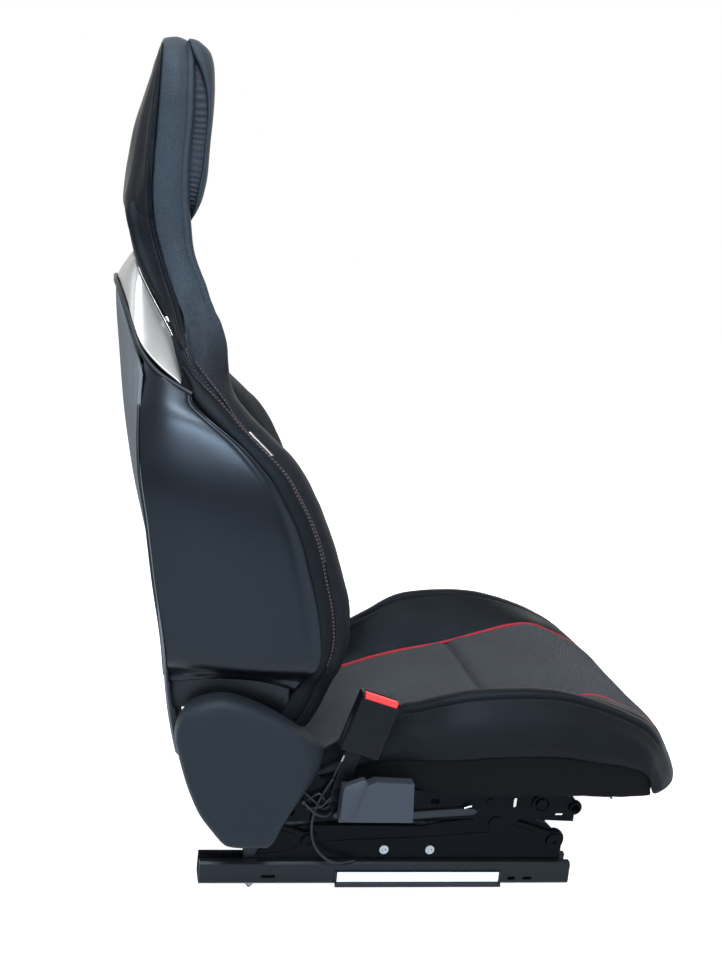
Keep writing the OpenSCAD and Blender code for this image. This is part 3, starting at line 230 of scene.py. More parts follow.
def make_scuff():
    """Handling marks: Marks is a mask of scratches and rubbed patches, Dust one of faces that look up."""
    g, i, o = group("scuff", {"Amount": 0.5}, ["Marks", "Dust", "Height"])
    at = i.outputs["Vector"]
    stretched = put(g, "Mapping", [("Scale", (1.0, 1.0, 6.0))], [("Vector", at)]).outputs[0]
    worn = ranged(g, noise(g, stretched, 38.0, 6.0, 0.75).outputs["Fac"], 0.0, 1.0, 0.56, 0.72)
    g.links.new(math_node(g, "MULTIPLY", worn, i.outputs["Amount"]), o.inputs["Marks"])
    up = ranged(g, part(g, put(g, "NewGeometry").outputs["Normal"], "Z"), 0.0, 1.0, 0.3, 1.0)
    lying = math_node(g, "MULTIPLY", noise(g, at, 22.0, 5.0).outputs["Fac"], up)
    g.links.new(math_node(g, "MULTIPLY", lying, i.outputs["Amount"]), o.inputs["Dust"])
    g.links.new(noise(g, at, 900.0, 3.0).outputs["Fac"], o.inputs["Height"])
    return g


def effect(tree, name, where, **values):
    """Places a shared effect in a material, read at the given coordinate socket."""
    n = put(tree, "Group", node_tree=GROUPS[name])
    tree.links.new(where, n.inputs["Vector"])
    constants(n, **values)
    return n


def blended(tree, fac, a, b):
    """Colour between a and b, each a colour or a socket, by the mask fac."""
    n = put(tree, "Mix", [], [("Factor", fac)], data_type="RGBA")
    for key, x in ((6, a), (7, b)):
        if isinstance(x, tuple):
            n.inputs[key].default_value = x
        else:
            tree.links.new(x, n.inputs[key])
    return n.outputs[2]


def ranged(tree, value, low, high, a=0.3, b=0.7):
    """Value mapped from a..b to low..high, held at the ends."""
    return put(tree, "MapRange", [("From Min", a), ("From Max", b), ("To Min", low), ("To Max", high)],
               [("Value", value)]).outputs[0]


def bumped(tree, skin, height, distance, strength=1.0):
    """Feeds a height into the shader's normal, distance in metres."""
    n = put(tree, "Bump", [("Distance", distance), ("Strength", strength)], [("Height", height)])
    tree.links.new(n.outputs[0], skin.inputs["Normal"])


def constants(node, **values):
    """Sets a node's own sockets, named with underscores for spaces."""
    for key, value in values.items():
        node.inputs[key.replace("_", " ")].default_value = value


GROUPS = {"grain": make_grain(), "weave": make_weave(), "scuff": make_scuff()}
# Painted blue tint of the reflections on leather, paint and plastic, standing in for bluish surroundings, and
# colour of the dust on top faces
SKY, DUST = (0.74, 0.86, 1, 1), tone(120, 122, 124)


def leather(name, dark, light, rough=(0.36, 0.5), cells=620.0, depth=0.00022, level=0.16, fade=None):
    """Grained leather: colour and roughness drift slowly, and the cracks between the cells lie deeper.

    fade is a height range in metres and a colour: below the range the leather has that colour, painted shade
    that makes the lower part darker.
    """
    new, tree, skin = material(name)
    at = put(tree, "TexCoord").outputs["Object"]
    g = effect(tree, "grain", at, Cells=cells)
    colour = blended(tree, g.outputs["Wear"], dark, light)
    # Painted shade: below the fade's height range the colour turns to its dark tint
    if fade:
        low, high, tint = fade
        colour = blended(tree, ranged(tree, part(tree, at, "Z"), 0.0, 1.0, low, high), tint, colour)
    tree.links.new(colour, skin.inputs["Base Color"])
    tree.links.new(ranged(tree, g.outputs["Wear"], *rough), skin.inputs["Roughness"])
    bumped(tree, skin, g.outputs["Height"], depth)
    # Reflections get the painted blue tint SKY
    constants(skin, Specular_IOR_Level=level, Specular_Tint=SKY)
    return new


def cloth(name, dark, light, pitch, slant=0.5, depth=0.00035, sheen=0.12):
    """Woven cloth on the piece's own UV, in metres: threads lighter than the gaps, with a soft sheen."""
    new, tree, skin = material(name)
    at = put(tree, "TexCoord").outputs["UV"]
    w = effect(tree, "weave", at, Pitch=pitch, Slant=slant)
    thread = blended(tree, w.outputs["Tint"], dark, light)
    patches = ranged(tree, noise(tree, at, 14.0, 3.0).outputs["Fac"], 0.0, 0.35)
    tree.links.new(blended(tree, patches, thread, dark), skin.inputs["Base Color"])
    tree.links.new(ranged(tree, w.outputs["Tint"], 0.95, 0.75, 0.0, 1.0), skin.inputs["Roughness"])
    bumped(tree, skin, w.outputs["Height"], depth)
    constants(skin, Specular_IOR_Level=0.1, Sheen_Weight=sheen, Sheen_Roughness=0.5)
    return new


def hard(name, base, worn, rough, metal=0.0, level=0.5, marks=0.4, grain=0.0):
    """Painted, moulded or plated surface: rubbed to the worn colour in scratches, dusty on top faces."""
    new, tree, skin = material(name)
    at = put(tree, "TexCoord").outputs["Object"]
    s = effect(tree, "scuff", at, Amount=marks)
    colour = blended(tree, s.outputs["Marks"], base, worn)
    faint = math_node(tree, "MULTIPLY", s.outputs["Dust"], 0.16)
    tree.links.new(blended(tree, faint, colour, DUST), skin.inputs["Base Color"])
    dull = ranged(tree, s.outputs["Marks"], rough, min(1, rough + 0.18), 0.0, 0.6)
    tree.links.new(dull, skin.inputs["Roughness"])
    if grain:
        g = effect(tree, "grain", at, Cells=1500.0, Crack=0.4)
        bumped(tree, skin, g.outputs["Height"], grain)
    else:
        bumped(tree, skin, s.outputs["Height"], 0.00004)
    constants(skin, Metallic=metal, Specular_IOR_Level=level)
    # Non-metal reflections get the painted blue tint SKY
    if not metal:
        constants(skin, Specular_Tint=SKY)
    return new


LOOKS = {
    "leather": leather("leather_black", tone(7, 8, 10), tone(15, 17, 20), rough=(0.34, 0.46), level=0.1),
    # Head leather: a lighter copy of the black leather as painted sheen of the head; below 0.7 to 0.8 m it
    # turns dark, painted shade on the bolsters
    "head_leather_painted_light": leather("head_leather_painted_light", tone(27, 33, 38), tone(42, 50, 57), rough=(0.38, 0.5),
                            cells=560.0, level=0.17, depth=0.0004, fade=(0.7, 0.8, tone(9, 10, 13))),
    "gather": leather("leather_gathered", tone(30, 31, 36), tone(46, 48, 55), rough=(0.45, 0.6)),
    "cloth": cloth("seat_cloth", tone(11, 12, 15), tone(64, 69, 76), 300.0, depth=0.0006),
    # Skirt cloth: black, and darker still as painted shade for its place under the cushion, facing down
    "skirt": cloth("skirt_cloth", tone(5, 5, 7), tone(13, 13, 16), 700.0, slant=1.0, depth=0.0002, sheen=0.0),
    "satin": hard("side_satin", tone(2, 4, 8), tone(4, 7, 11), 0.29, level=0.3, marks=0.15),
    "rear": hard("rear_grey", tone(84, 87, 91), tone(98, 101, 105), 0.62, level=0.3, marks=0.3,
                 grain=0.00008),
    "collar": hard("collar_silver", tone(150, 149, 147), tone(164, 163, 160), 0.36, metal=0.75, marks=0.2),
    "cover": hard("cover_plastic", tone(25, 29, 34), tone(35, 38, 44), 0.48, level=0.14, marks=0.3,
                  grain=0.00008),
    "trim": hard("trim_black", tone(7, 8, 9), tone(16, 17, 19), 0.42, level=0.3, marks=0.2),
    "rail": hard("rail_black", tone(7, 8, 9), tone(44, 44, 46), 0.28, level=0.3, marks=0.3),
    "steel": hard("base_metal", tone(3, 3, 4), tone(15, 15, 14), 0.32, level=0.08, marks=0.3),
    "zinc": hard("zinc_plated", tone(158, 164, 170), tone(110, 112, 112), 0.32, metal=1.0, marks=0.6),
    "box": hard("box_grey", tone(40, 44, 50), tone(58, 61, 66), 0.55, level=0.4, marks=0.35, grain=0.0001),
    "plastic": hard("black_plastic", tone(13, 14, 15), tone(34, 35, 36), 0.45, level=0.4, marks=0.3,
                    grain=0.00006),
    "buckle": hard("buckle_black", tone(6, 6, 8), tone(18, 18, 20), 0.34, level=0.16, marks=0.3,
                   grain=0.00005),
    "button": hard("button_red", tone(206, 44, 40), tone(226, 90, 84), 0.35, level=0.5, marks=0.3),
    "label": hard("label_blank", tone(222, 228, 232), tone(196, 200, 204), 0.45, level=0.3, marks=0.35),
    "chrome": hard("chrome_edge", tone(214, 216, 218), tone(180, 182, 184), 0.16, metal=1.0, marks=0.2),
    "cable": hard("cable_black", tone(11, 11, 12), tone(30, 30, 31), 0.5, level=0.4, marks=0.2),
    "tag": hard("tag_bare", tone(178, 176, 170), tone(120, 118, 114), 0.28, metal=1.0, marks=0.3),
    "piping": leather("piping_red", tone(128, 24, 32), tone(168, 44, 54), rough=(0.45, 0.6), cells=1400.0,
                      depth=0.00008),
    "thread": hard("thread_plum", tone(92, 78, 86), tone(120, 106, 112), 0.8, level=0.2, marks=0.5),
    "thread_dark": hard("thread_dark", tone(34, 36, 41), tone(52, 54, 60), 0.8, level=0.2, marks=0.5),
}


# ------------------------------------------------------------------ curves and surfaces
def hermite(a, b, leaving, coming, h, s):
    """Cubic Hermite from a to b at the share s of a step h, with the slopes leaving a and coming to b."""
    return ((2 * s**3 - 3 * s**2 + 1) * a + (s**3 - 2 * s**2 + s) * h * leaving
            + (3 * s**2 - 2 * s**3) * b + (s**3 - s**2) * h * coming)


def curve(table, u):
    """Smooth value at u through [position, value] rows: cubic Hermite, slopes along each row's neighbours."""
    x, y = np.asarray(table, float).T
    k = np.arange(len(x))
    a, b = np.maximum(k - 1, 0), np.minimum(k + 1, len(x) - 1)
    m = (y[b] - y[a]) / (x[b] - x[a])
    v = np.clip(u, x[0], x[-1])
    i = np.clip(np.searchsorted(x, v, side="right") - 1, 0, len(x) - 2)
    h = x[i + 1] - x[i]
    return hermite(y[i], y[i + 1], m[i], m[i + 1], h, (v - x[i]) / h)


def unit(v):
    """Vectors brought to length 1 along the last axis."""
    return v / np.linalg.norm(v, axis=-1, keepdims=True)


def points(x, y, z):
    """Points of x, y and z, each a number or an array that fits the others."""
    return np.stack(np.broadcast_arrays(x, y, z), -1)


def mix(a, b, s):
    """Value a turned into b by the share s."""
    return a + (b - a) * s


def rise(u, a, b):
    """0 before a, 1 after b, and a smooth step between them."""
    t = np.clip((u - a) / (b - a), 0, 1)
    return t * t * (3 - 2 * t)


def bell(u, middle, width):
    """Bell curve: 1 at the middle, falling off over width."""
    return np.exp(-((u - middle) / width) ** 2)


def through(controls, per, closed=False):
    """Smooth lines: cubic Hermite through the controls on axis 1, with per samples to each next control."""
    p = np.asarray(controls, float)
    n = p.shape[1]
    if closed:
        p = np.concatenate([p[:, -1:], p, p[:, :2]], 1)
    k = np.r_[0, np.cumsum(np.linalg.norm(np.diff(p, axis=1), axis=2).mean(0) + 1e-6)]
    at = np.arange(len(k))
    a, b = np.maximum(at - 1, 0), np.minimum(at + 1, len(k) - 1)
    m = (p[:, b] - p[:, a]) / (k[b] - k[a])[None, :, None]
    first, last = (1, n + 1) if closed else (0, n - 1)
    per = np.broadcast_to(per, last - first)
    i = np.repeat(np.arange(first, last), per)
    s = np.concatenate([np.arange(c) / c for c in per])
    if not closed:
        i, s = np.r_[i, last - 1], np.r_[s, 1.0]
    h = (k[i + 1] - k[i])[None, :, None]
    return hermite(p[:, i], p[:, i + 1], m[:, i], m[:, i + 1], h, s[None, :, None])


def normals(p, wrap=False):
    """Unit normal at each grid point: cross product of the differences along its row and its column."""
    u = np.roll(p, -1, 1) - np.roll(p, 1, 1) if wrap else np.gradient(p, axis=1)
    n = np.cross(u, np.gradient(p, axis=0))
    return n / (np.linalg.norm(n, axis=2, keepdims=True) + 1e-9)


def outward(rings):
    """Normals of closed rings, turned to point away from the rings' middles."""
    n = normals(rings, wrap=True)
    return n * np.sign((n * (rings - rings.mean(1, keepdims=True))).sum())


def sunk(rings, depth):
    """Rings moved inwards by depth mm along their normals."""
    return rings - outward(rings) * depth[..., None]


def drawn_in(rings, share):
    """Rings drawn in towards their middles, to the share of their size."""
    middle = rings.mean(1, keepdims=True)
    return middle + (rings - middle) * share


def lengths(p, axis):
    """Mean way in mm along an axis of a grid, from its start."""
    d = np.linalg.norm(np.diff(p, axis=axis), axis=2).mean(1 - axis)
    return np.r_[0, np.cumsum(d)]


def ways(p, axis=1):
    """Way in mm of every grid point along an axis, from that line's start."""
    d = np.linalg.norm(np.diff(p, axis=axis), axis=2)
    pad = [(0, 0), (0, 0)]
    pad[axis] = (1, 0)
    return np.cumsum(np.pad(d, pad), axis)


def ripple(p, size, seed, kinds=7):
    """Slow unevenness of about -1 to 1 at points p: a sum of sine waves of about size mm.

    Their directions, lengths and starts are drawn from the seed; the sum is over the root of their number.
    """
    r = np.random.default_rng(seed)
    k = r.normal(size=(kinds, 3))
    k *= (2 * np.pi / size / np.linalg.norm(k, axis=1) * r.uniform(0.6, 1.5, kinds))[:, None]
    return np.sin(np.einsum("...i,ki->...k", p, k) + r.uniform(0, 6.28, kinds)).sum(-1) / kinds**0.5 / 1.4


# Edges that turn by more than this stay sharp
SHARP_TURN = np.radians(55)


def mesh_piece(name, corners, faces, uv=None):
    """Smooth object from corners in mm and faces; uv is one pair per face corner."""
    data = bpy.data.meshes.new(name)
    data.from_pydata((np.asarray(corners) / 1000).tolist(), [], faces)
    if uv is not None:
        data.uv_layers.new(name="UVMap").data.foreach_set("uv", np.asarray(uv, np.float32).ravel())
    data.polygons.foreach_set("use_smooth", np.full(len(data.polygons), True))
    data.set_sharp_from_angle(angle=SHARP_TURN)
    obj = bpy.data.objects.new(name, data)
    bpy.context.collection.objects.link(obj)
    return obj


def closed_loft(name, rings, ends="fan"):
    """Closed skin of rings (rows, points, 3); ends are fans to the ring's middle, or strips across a shell.

    UV is the way round the ring and along the rows, in metres. The faces are turned outwards by the sign of
    the enclosed volume, the sum of each triangle's corner product over six.
    """
    k, n = rings.shape[:2]
    p = rings.reshape(-1, 3)
    i, j = np.meshgrid(np.arange(k - 1), np.arange(n), indexing="ij")
    a, b = i * n + j, i * n + (j + 1) % n
    quads = np.stack([a, b, b + n, a + n], -1).reshape(-1, 4)
    round_way = lengths(np.concatenate([rings, rings[:, :1]], 1), 1) / 1000
    row_way = lengths(rings, 0) / 1000
    u = np.stack([round_way[j], round_way[j + 1], round_way[j + 1], round_way[j]], -1)
    v = np.stack([row_way[i], row_way[i], row_way[i + 1], row_way[i + 1]], -1)
    uv = np.stack([u, v], -1).reshape(-1, 4, 2)
    c = np.arange(n)
    if ends == "fan":
        p = np.vstack([p, rings[0].mean(0), rings[-1].mean(0)])
        low = np.stack([(c + 1) % n, c, np.full(n, k * n)], 1)
        high = np.stack([(k - 1) * n + c, (k - 1) * n + (c + 1) % n, np.full(n, k * n + 1)], 1)
    else:
        c = np.arange(n // 2 - 1)
        low = np.stack([c + 1, c, n - 1 - c, n - 2 - c], 1)
        high = (k - 1) * n + low[:, ::-1]
    tris = np.vstack([quads[:, [0, 1, 2]], quads[:, [0, 2, 3]]] + [e[:, [0, 1, 2]] for e in (low, high)]
                     + ([e[:, [0, 2, 3]] for e in (low, high)] if ends != "fan" else []))
    if (p[tris[:, 0]] * np.cross(p[tris[:, 1]], p[tris[:, 2]])).sum() < 0:
        quads, low, high, uv = quads[:, ::-1], low[:, ::-1], high[:, ::-1], uv[:, ::-1]
    flat = np.zeros((low.size + high.size, 2))
    faces = quads.tolist() + low.tolist() + high.tolist()
    return mesh_piece(name, p, faces, np.vstack([uv.reshape(-1, 2), flat]))


def shell(name, p, thick, edge, side):
    """Closed panel: grid p is its outer face, on the given side; the inner face lies thick behind it.

    Within edge mm of the border, the outer face sinks by edge - sqrt(edge^2 - (edge - distance)^2).
    """
    n = normals(p)
    n *= np.sign((n * side).sum())
    across, along = ways(p, 1), ways(p, 0)
    gap = np.minimum(np.minimum(across, across[:, -1:] - across), np.minimum(along, along[-1:] - along))
    d = np.maximum(0, edge - gap)
    drop = edge - np.sqrt(np.maximum(edge**2 - d**2, 0))
    top = p - n * drop[..., None]
    return closed_loft(name, np.concatenate([top, (p - n * thick)[:, ::-1]], 1), ends="strip")


def edge_steps(n, first=0.012):
    """Steps from 0 to 1 with extra ones close to both ends."""
    e = np.array([0, 0.12, 0.3, 0.55, 1]) * first
    return np.r_[e, np.linspace(first, 1 - first, n)[1:-1], 1 - e[::-1]]


# Direction that no tube runs along, to set its circles by
SKEW = (0.31, 0.22, 0.92)


def tube(name, path, radius, sides=10):
    """Round tube along points in mm: at each, a circle across the path's direction, with closed ends."""
    path = np.asarray(path, float)
    t = unit(np.gradient(path, axis=0))
    side = unit(np.cross(t, SKEW))
    other = np.cross(t, side)
    a = np.arange(sides) * 2 * np.pi / sides
    r = np.broadcast_to(radius, len(path))[:, None, None]
    return closed_loft(name, path[:, None] + r * (np.cos(a)[None, :, None] * side[:, None]
                                                  + np.sin(a)[None, :, None] * other[:, None]))


def line(controls, step):
    """Smooth line through its controls with samples about step mm apart."""
    p = np.asarray(controls, float)
    per = np.maximum(1, np.round(np.linalg.norm(np.diff(p, axis=0), axis=1) / step).astype(int))
    return through(p[None], per)[0]


def resampled(path, step, *others):
    """Path and arrays beside it at even steps of way."""
    w = np.r_[0, np.cumsum(np.linalg.norm(np.diff(path, axis=0), axis=1))]
    at = np.arange(step / 2, w[-1] - step / 2, step)
    return [np.stack([np.interp(at, w, a[:, i]) for i in range(3)], 1) for a in (path, *others)]


# One stitch: places of its five rings along it, and their width and height as shares of its width
STITCH_ALONG = np.array([-0.5, -0.36, 0, 0.36, 0.5])
STITCH_WIDE = np.array([0.25, 0.8, 1, 0.8, 0.25]) / 2
STITCH_HIGH = np.array([-0.55, -0.1, 0.25, -0.1, -0.55]) / 2
STITCH_RINGS, STITCH_SIDES = len(STITCH_ALONG), 6


def stitches(name, path, up, pitch=5.0, long=3.9, wide=1.0, deep=0.15):
    """Row of sewn stitches: small pillows with six sides lying along the path, each dipping at its ends."""
    p, n = resampled(path, pitch, up)
    t = unit(np.gradient(p, axis=0))
    n = unit(n - (n * t).sum(1, keepdims=True) * t)
    s = np.cross(t, n)
    sides = np.arange(STITCH_SIDES)
    a = sides * 2 * np.pi / STITCH_SIDES
    r = STITCH_WIDE[:, None] * wide
    lift = STITCH_HIGH[:, None] * wide - deep
    grid = (p[:, None, None] + (STITCH_ALONG * long)[None, :, None, None] * t[:, None, None]
            + (lift + r * np.sin(a))[None, ..., None] * n[:, None, None]
            + (r * np.cos(a))[None, ..., None] * s[:, None, None])
    i, j = np.meshgrid(np.arange(STITCH_RINGS - 1), sides, indexing="ij")
    a, b = i * STITCH_SIDES + j, i * STITCH_SIDES + (j + 1) % STITCH_SIDES
    quads = np.stack([a, a + STITCH_SIDES, b + STITCH_SIDES, b], -1).reshape(-1, 4)
    size = STITCH_RINGS * STITCH_SIDES
    start = np.arange(len(p))[:, None] * size
    faces = (start[..., None] + quads[None]).reshape(-1, 4).tolist()
    faces += (start + sides).tolist() + (start + size - 1 - sides).tolist()
    obj = mesh_piece(name, grid.reshape(-1, 3), faces)
    corner = grid[0, 0, 0]
    if (np.cross(grid[0, 1, 1] - corner, grid[0, 0, 1] - corner) * (corner - p[0])).sum() < 0:
        obj.data.flip_normals()
    return obj


def dress(obj, body, look, replaces=()):
    """Gives a piece its material, its body and the nodes that it stands for."""
    obj.data.materials.clear()
    obj.data.materials.append(LOOKS[look])
    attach(obj, body)
    if replaces:
        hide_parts(*replaces)
    return obj


def sew(name, path, up, body, look, **sizes):
    """Row of stitches in the leather, dressed with its thread."""
    return dress(stitches(name, path, up, **sizes), body, look)


def flip_y(p):
    """The same points on the seat's other side."""
    return p * np.array([1, -1, 1])


def sided(p, side):
    """Points of the left side, where side is 1, or flipped to the right, where it is -1."""
    return p if side > 0 else flip_y(p)


SIDES = (("left", 1), ("right", -1))


def on_both(name, rings, body, look, replaces=()):
    """Closed skin on each side, from the left side's rings; {} in a name stands for left or right."""
    for word, side in SIDES:
        dress(closed_loft(name.format(word), sided(rings, side)), body, look,
              [node.format(word) for node in replaces])


def panel_on_both(name, grid, thick, edge, look, replaces=()):
    """Closed panel of the backrest on each side, its outer face to the seat's outside."""
    for word, side in SIDES:
        panel = shell(name.format(word), sided(grid, side), thick, edge, side * OUTWARDS)
        dress(panel, "backrest", look, [node.format(word) for node in replaces])


def sew_on_both(name, path, up, body, look, **sizes):
    """Row of stitches on each side, from the left side's path and normals."""
    for word, side in SIDES:
        sew(name.format(word), sided(path, side), sided(up, side), body, look, **sizes)


# Directions to the seat's front, to its rear and out to its left side
AHEAD, BEHIND, OUTWARDS = np.array([[1.0, 0, 0], [-1, 0, 0], [0, 1, 0]])

bpy.context.scene.view_settings.view_transform = "Standard"
add_camera()
add_studio()
add_floor()


# ------------------------------------------------------------------ sizes shared with the frame
# Half widths of the back's pad and of the head restraint, its top, and the width of the band round it
PAD_HALF, HEAD_HALF, HEAD_TOP, BAND_W = 149.7, 125, 1103, 44
# Half width and height of the band's middle line, and the radius of its corner
ARM_IN, ARM_TOP, CORNER = HEAD_HALF - BAND_W / 2, HEAD_TOP - BAND_W / 2, 52
LEAN = np.radians(13.6)
# Middle of the recliner, and the heights of the bolsters' foot and of the shoulder where the band begins
HUB_X, FOOT_Z, SHOULDER_Z = -224, 262, 640
# Outlines of the back by height: half widths, and x of the faces, seams and edges
HALF_W = [[262, 222], [300, 226], [322, 246], [345, 252], [400, 256], [500, 258], [560, 256], [600, 250],
          [640, 238], [670, 221], [700, 202], [716, 192], [745, 166]]
PAD_FACE = [[196, -196], [230, -189], [280, -182], [340, -184], [400, -194], [450, -206], [500, -220],
            [550, -236], [600, -252], [650, -268], [700, -284], [740, -298], [765, -309], [785, -322],
            [802, -346]]
PAD_REAR = [[196, -212], [245, -216], [262, -222], [340, -240.6], [450, -267.2], [560, -293.8], [640, -311],
            [700, -328], [722, -350], [740, -378], [760, -391], [785, -393], [802, -386]]
PAD_W = [[196, 120], [215, 140], [250, PAD_HALF], [670, PAD_HALF], [687, 149], [703, 141], [719, 131],
         [738, 118], [759, 105], [782, 93], [796, 84], [802, 76]]
CREST_X = [[235, -150], [262, -126], [300, -106], [327, -97], [354, -93], [388, -94], [414, -98], [446, -109],
           [485, -123], [516, -137], [548, -153], [576, -170], [602, -191], [625, -219], [646, -246],
           [668, -266], [700, -277], [743, -286]]
SEAM_X = [[262, -150], [300, -131], [354, -118], [400, -121], [450, -135], [490, -147], [524, -162],
          [553, -179], [583, -199], [612, -230], [638, -262], [657, -281], [681, -303], [705, -323],
          [729, -337], [745, -338]]
EDGE_FRONT = [[262, -176], [288, -160], [310, -143], [336, -134], [362, -134], [412, -144], [460, -159],
              [510, -177], [556, -203], [580, -220], [616, -257], [640, -292], [660, -319], [672, -322],
              [700, -325]]
# The side panel is a little wider than the leather where it leaves the recliner cover
PANEL_W = HALF_W[:3] + [[345, 254]] + HALF_W[4:]
EDGE_REAR = [[147, -296], [200, -312], [262, -326], [356, -340], [435, -356], [513, -370], [573, -382],
             [641, -387], [711, -385]]
REAR_MID = [[147, -299], [195, -313], [239, -323], [300, -334], [356, -344], [435, -361], [509, -375],
            [566, -388], [636, -402], [705, -413], [759, -420], [791, -422]]
REAR_W = [[147, 198], [240, 212], [300, 219], [330, 238], [400, 240], [560, 240], [640, 221], [700, 196],
          [791, 160]]
ARM_Y = [[560, 186], [620, 184], [660, 180], [700, 172], [720, 160], [745, 144], [775, 125], [805, 112],
         [845, 104], [880, 103], [1000, 103]]
BAND_FRONT = [[640, -262], [700, -274], [743, -284], [791, -305], [835, -324], [865, -330], [911, -336],
              [954, -338], [1005, -337], [1056, -339], [1100, -342]]
BAND_REAR = [[640, -300], [700, -327], [745, -338], [786, -352], [812, -361], [861, -376], [888, -381],
             [923, -384], [1017, -383], [1085, -381], [1100, -374]]
COVER_REAR = [[700, -333], [722, -343], [736, -348], [763, -364], [782, -376], [804, -388], [820, -396],
              [846, -405], [860, -409], [875, -413.5], [890, -417.8], [912, -418]]


def back_line(z):
    """Middle of the back frame's side channel at height z."""
    return HUB_X - np.tan(LEAN) * (z - 209)


def dip(z, x, y):
    """Height of a ring's point: the foot of the bolsters falls to the front, the shoulder rises outwards."""
    return (z - 0.34 * (x - HUB_X) * np.maximum(0, 1 - (z - FOOT_Z) / 80) ** 2
            + (0.75 * (y - 172) - 1.8) * np.maximum(0, (z - 610) / 90) ** 2 * (1 - rise(z, 690, 730)))


def side_y(z, u):
    """Half width of the side panel: the outline's, rounded in at the rear (u = 0) and a little full."""
    return curve(PANEL_W, z) - 17 * (1 - u) ** 3 + 2 * np.sin(np.pi * u)


def arm_path(fine=1.0):
    """Left half of the head band's path, y and z, and its normal, from the shoulder to the top's middle."""
    z = np.linspace(SHOULDER_Z, 1024, int(80 * fine))
    y = curve(ARM_Y, z) * ARM_IN / ARM_Y[-1][1]
    t = unit(np.stack([np.gradient(y), np.gradient(z)], 1))
    a = np.radians(np.linspace(0, 90, int(20 * fine)))
    arc = np.stack([ARM_IN - CORNER + CORNER * np.cos(a), ARM_TOP - CORNER + CORNER * np.sin(a)], 1)
    flat = np.linspace(ARM_IN - CORNER, 0, int(12 * fine))[1:]
    path = np.vstack([np.stack([y, z], 1), arc, np.stack([flat, np.full_like(flat, ARM_TOP)], 1)])
    across = np.vstack([np.stack([t[:, 1], -t[:, 0]], 1), np.stack([np.cos(a), np.sin(a)], 1),
                        np.tile([0.0, 1.0], (len(flat), 1))])
    return path, across


def along_path(table, path, across):
    """Rows of controls beside a path of y and z: each entry of table is x and the way out across the path."""
    (y, z), (ny, nz) = path.T, across.T
    return np.stack([points(x, y + way * ny, z + way * nz) for x, way in table], 1)


def band_controls(path, across):
    """Twelve controls of the band's rounded section, x from its front and rear tables."""
    f, b = curve(BAND_FRONT, path[:, 1]), curve(BAND_REAR, path[:, 1])
    r = BAND_W / 2
    return along_path([(b, -r), (mix(b, f, 0.5), -r), (f - 9, -r), (f - 2, 3 - r), (f, 0), (f - 2, r - 4.5),
                       (f - 9, r - 1.2), (mix(b, f, 0.45), r + 2.2), (b + 3, r - 0.8), (b, r - 4), (b, 0),
                       (b, 3 - r)], path, across)


def bolster_controls(z):
    """Twelve controls of the bolster's section at height z: pad seam, crest, outer seam, inner back."""
    w, xp, xb, xc = curve(HALF_W, z), curve(PAD_FACE, z) - 10, curve(CREST_X, z), curve(SEAM_X, z)
    yc, yk = PAD_HALF + 1.0, w - 36
    inside = np.maximum(back_line(z) + 38, xp - 26)
    table = [(xp, yc), (mix(xp, xb, 0.3), yc + 7), (mix(xp, xb, 0.72), mix(yc, yk, 0.42)), (xb - 3, yk - 12),
             (xb, yk), (xb - 3.5, w - 22), (mix(xb, xc, 0.42), w - 13.5), (mix(xb, xc, 0.76), w - 9),
             (xc, w - 7), (xc - 5, w - 15), (mix(xc - 8, inside, 0.6), mix(w - 20, yc, 0.35)),
             (inside, yc + 3)]
    return np.stack([points(x, y, dip(z, x, y)) for x, y in table], 1)


# Samples between the wing's controls, and the columns of its front edge and of its outer seam
WING_PER = np.array([10, 10, 8, 8, 8, 8, 8, 12, 5, 6, 6, 8])
FRONT_AT, SEAM_AT = int(WING_PER[:5].sum()), int(WING_PER[:8].sum())


def wing_half():
    """Left half of the wing: bolster rings up to the shoulder, turned into band rings between z 650 and 735.

    Returns the rings, their heights and their outward normals.
    """
    low = np.linspace(FOOT_Z, SHOULDER_Z, 78)[:-1]
    path, across = arm_path()
    z = path[:, 1]
    turned = rise(z, 650, 735)[:, None, None]
    upper = mix(bolster_controls(np.minimum(z, 745)), band_controls(path, across), turned)
    rings = through(np.concatenate([bolster_controls(low), upper]), WING_PER, closed=True)
    level = np.r_[low, z]
    n = normals(rings, wrap=True)
    way = ways(rings, 1)
    from_seam = way - way[:, SEAM_AT][:, None]
    from_front = way - way[:, FRONT_AT][:, None]
    # Sewn channel along the outer seam, and the two fine ones beside the band's front edge
    sink = 1.6 * bell(from_seam, 0, 2.6) * (1 - rise(level, 736, 760))[:, None]
    sink += 1.1 * bell(from_front, 0, 1.8) * rise(level, 700, 760)[:, None]
    sink += 0.9 * bell(from_front, 8.5, 1.6) * rise(level, 735, 760)[:, None]
    # Hollow in the outer face at the neck with its small crumples, the swell below it, and slow unevenness
    x, y, z = rings[..., 0], rings[..., 1], rings[..., 2]
    hollow = bell(z, 768, 24) * bell(x, -318, 22) * rise(y, 100, 150)
    sink += 9.0 * hollow - 4.5 * bell(z, 727, 15) * bell(x, -306, 20) * rise(y, 110, 160)
    sink += 1.3 * (hollow * np.maximum(0, ripple(rings * [1, 1, 2.2], 15, 13, 5) + 0.2))
    sink += 0.5 * ripple(rings, 90, 5) + 0.25 * ripple(rings, 38, 9)
    n *= np.sign((n[:, FRONT_AT] * (rings[:, FRONT_AT] - rings.mean(1))).sum())
    rings = rings - n * sink[..., None]
    # Rounded foot of seven rows
    a = np.radians(90 * (np.arange(7) + 0.4) / 7)
    rings[:7] = drawn_in(rings[:7], (0.8 + 0.2 * np.sin(a))[:, None, None])
    rings[:7, :, 2] -= (5 * np.cos(a))[:, None]
    return rings, level, n


def over_the_top(half):
    """Line or grid of the left side, followed by its flipped rows back down the right side."""
    return np.concatenate([half, flip_y(half[-2::-1])])


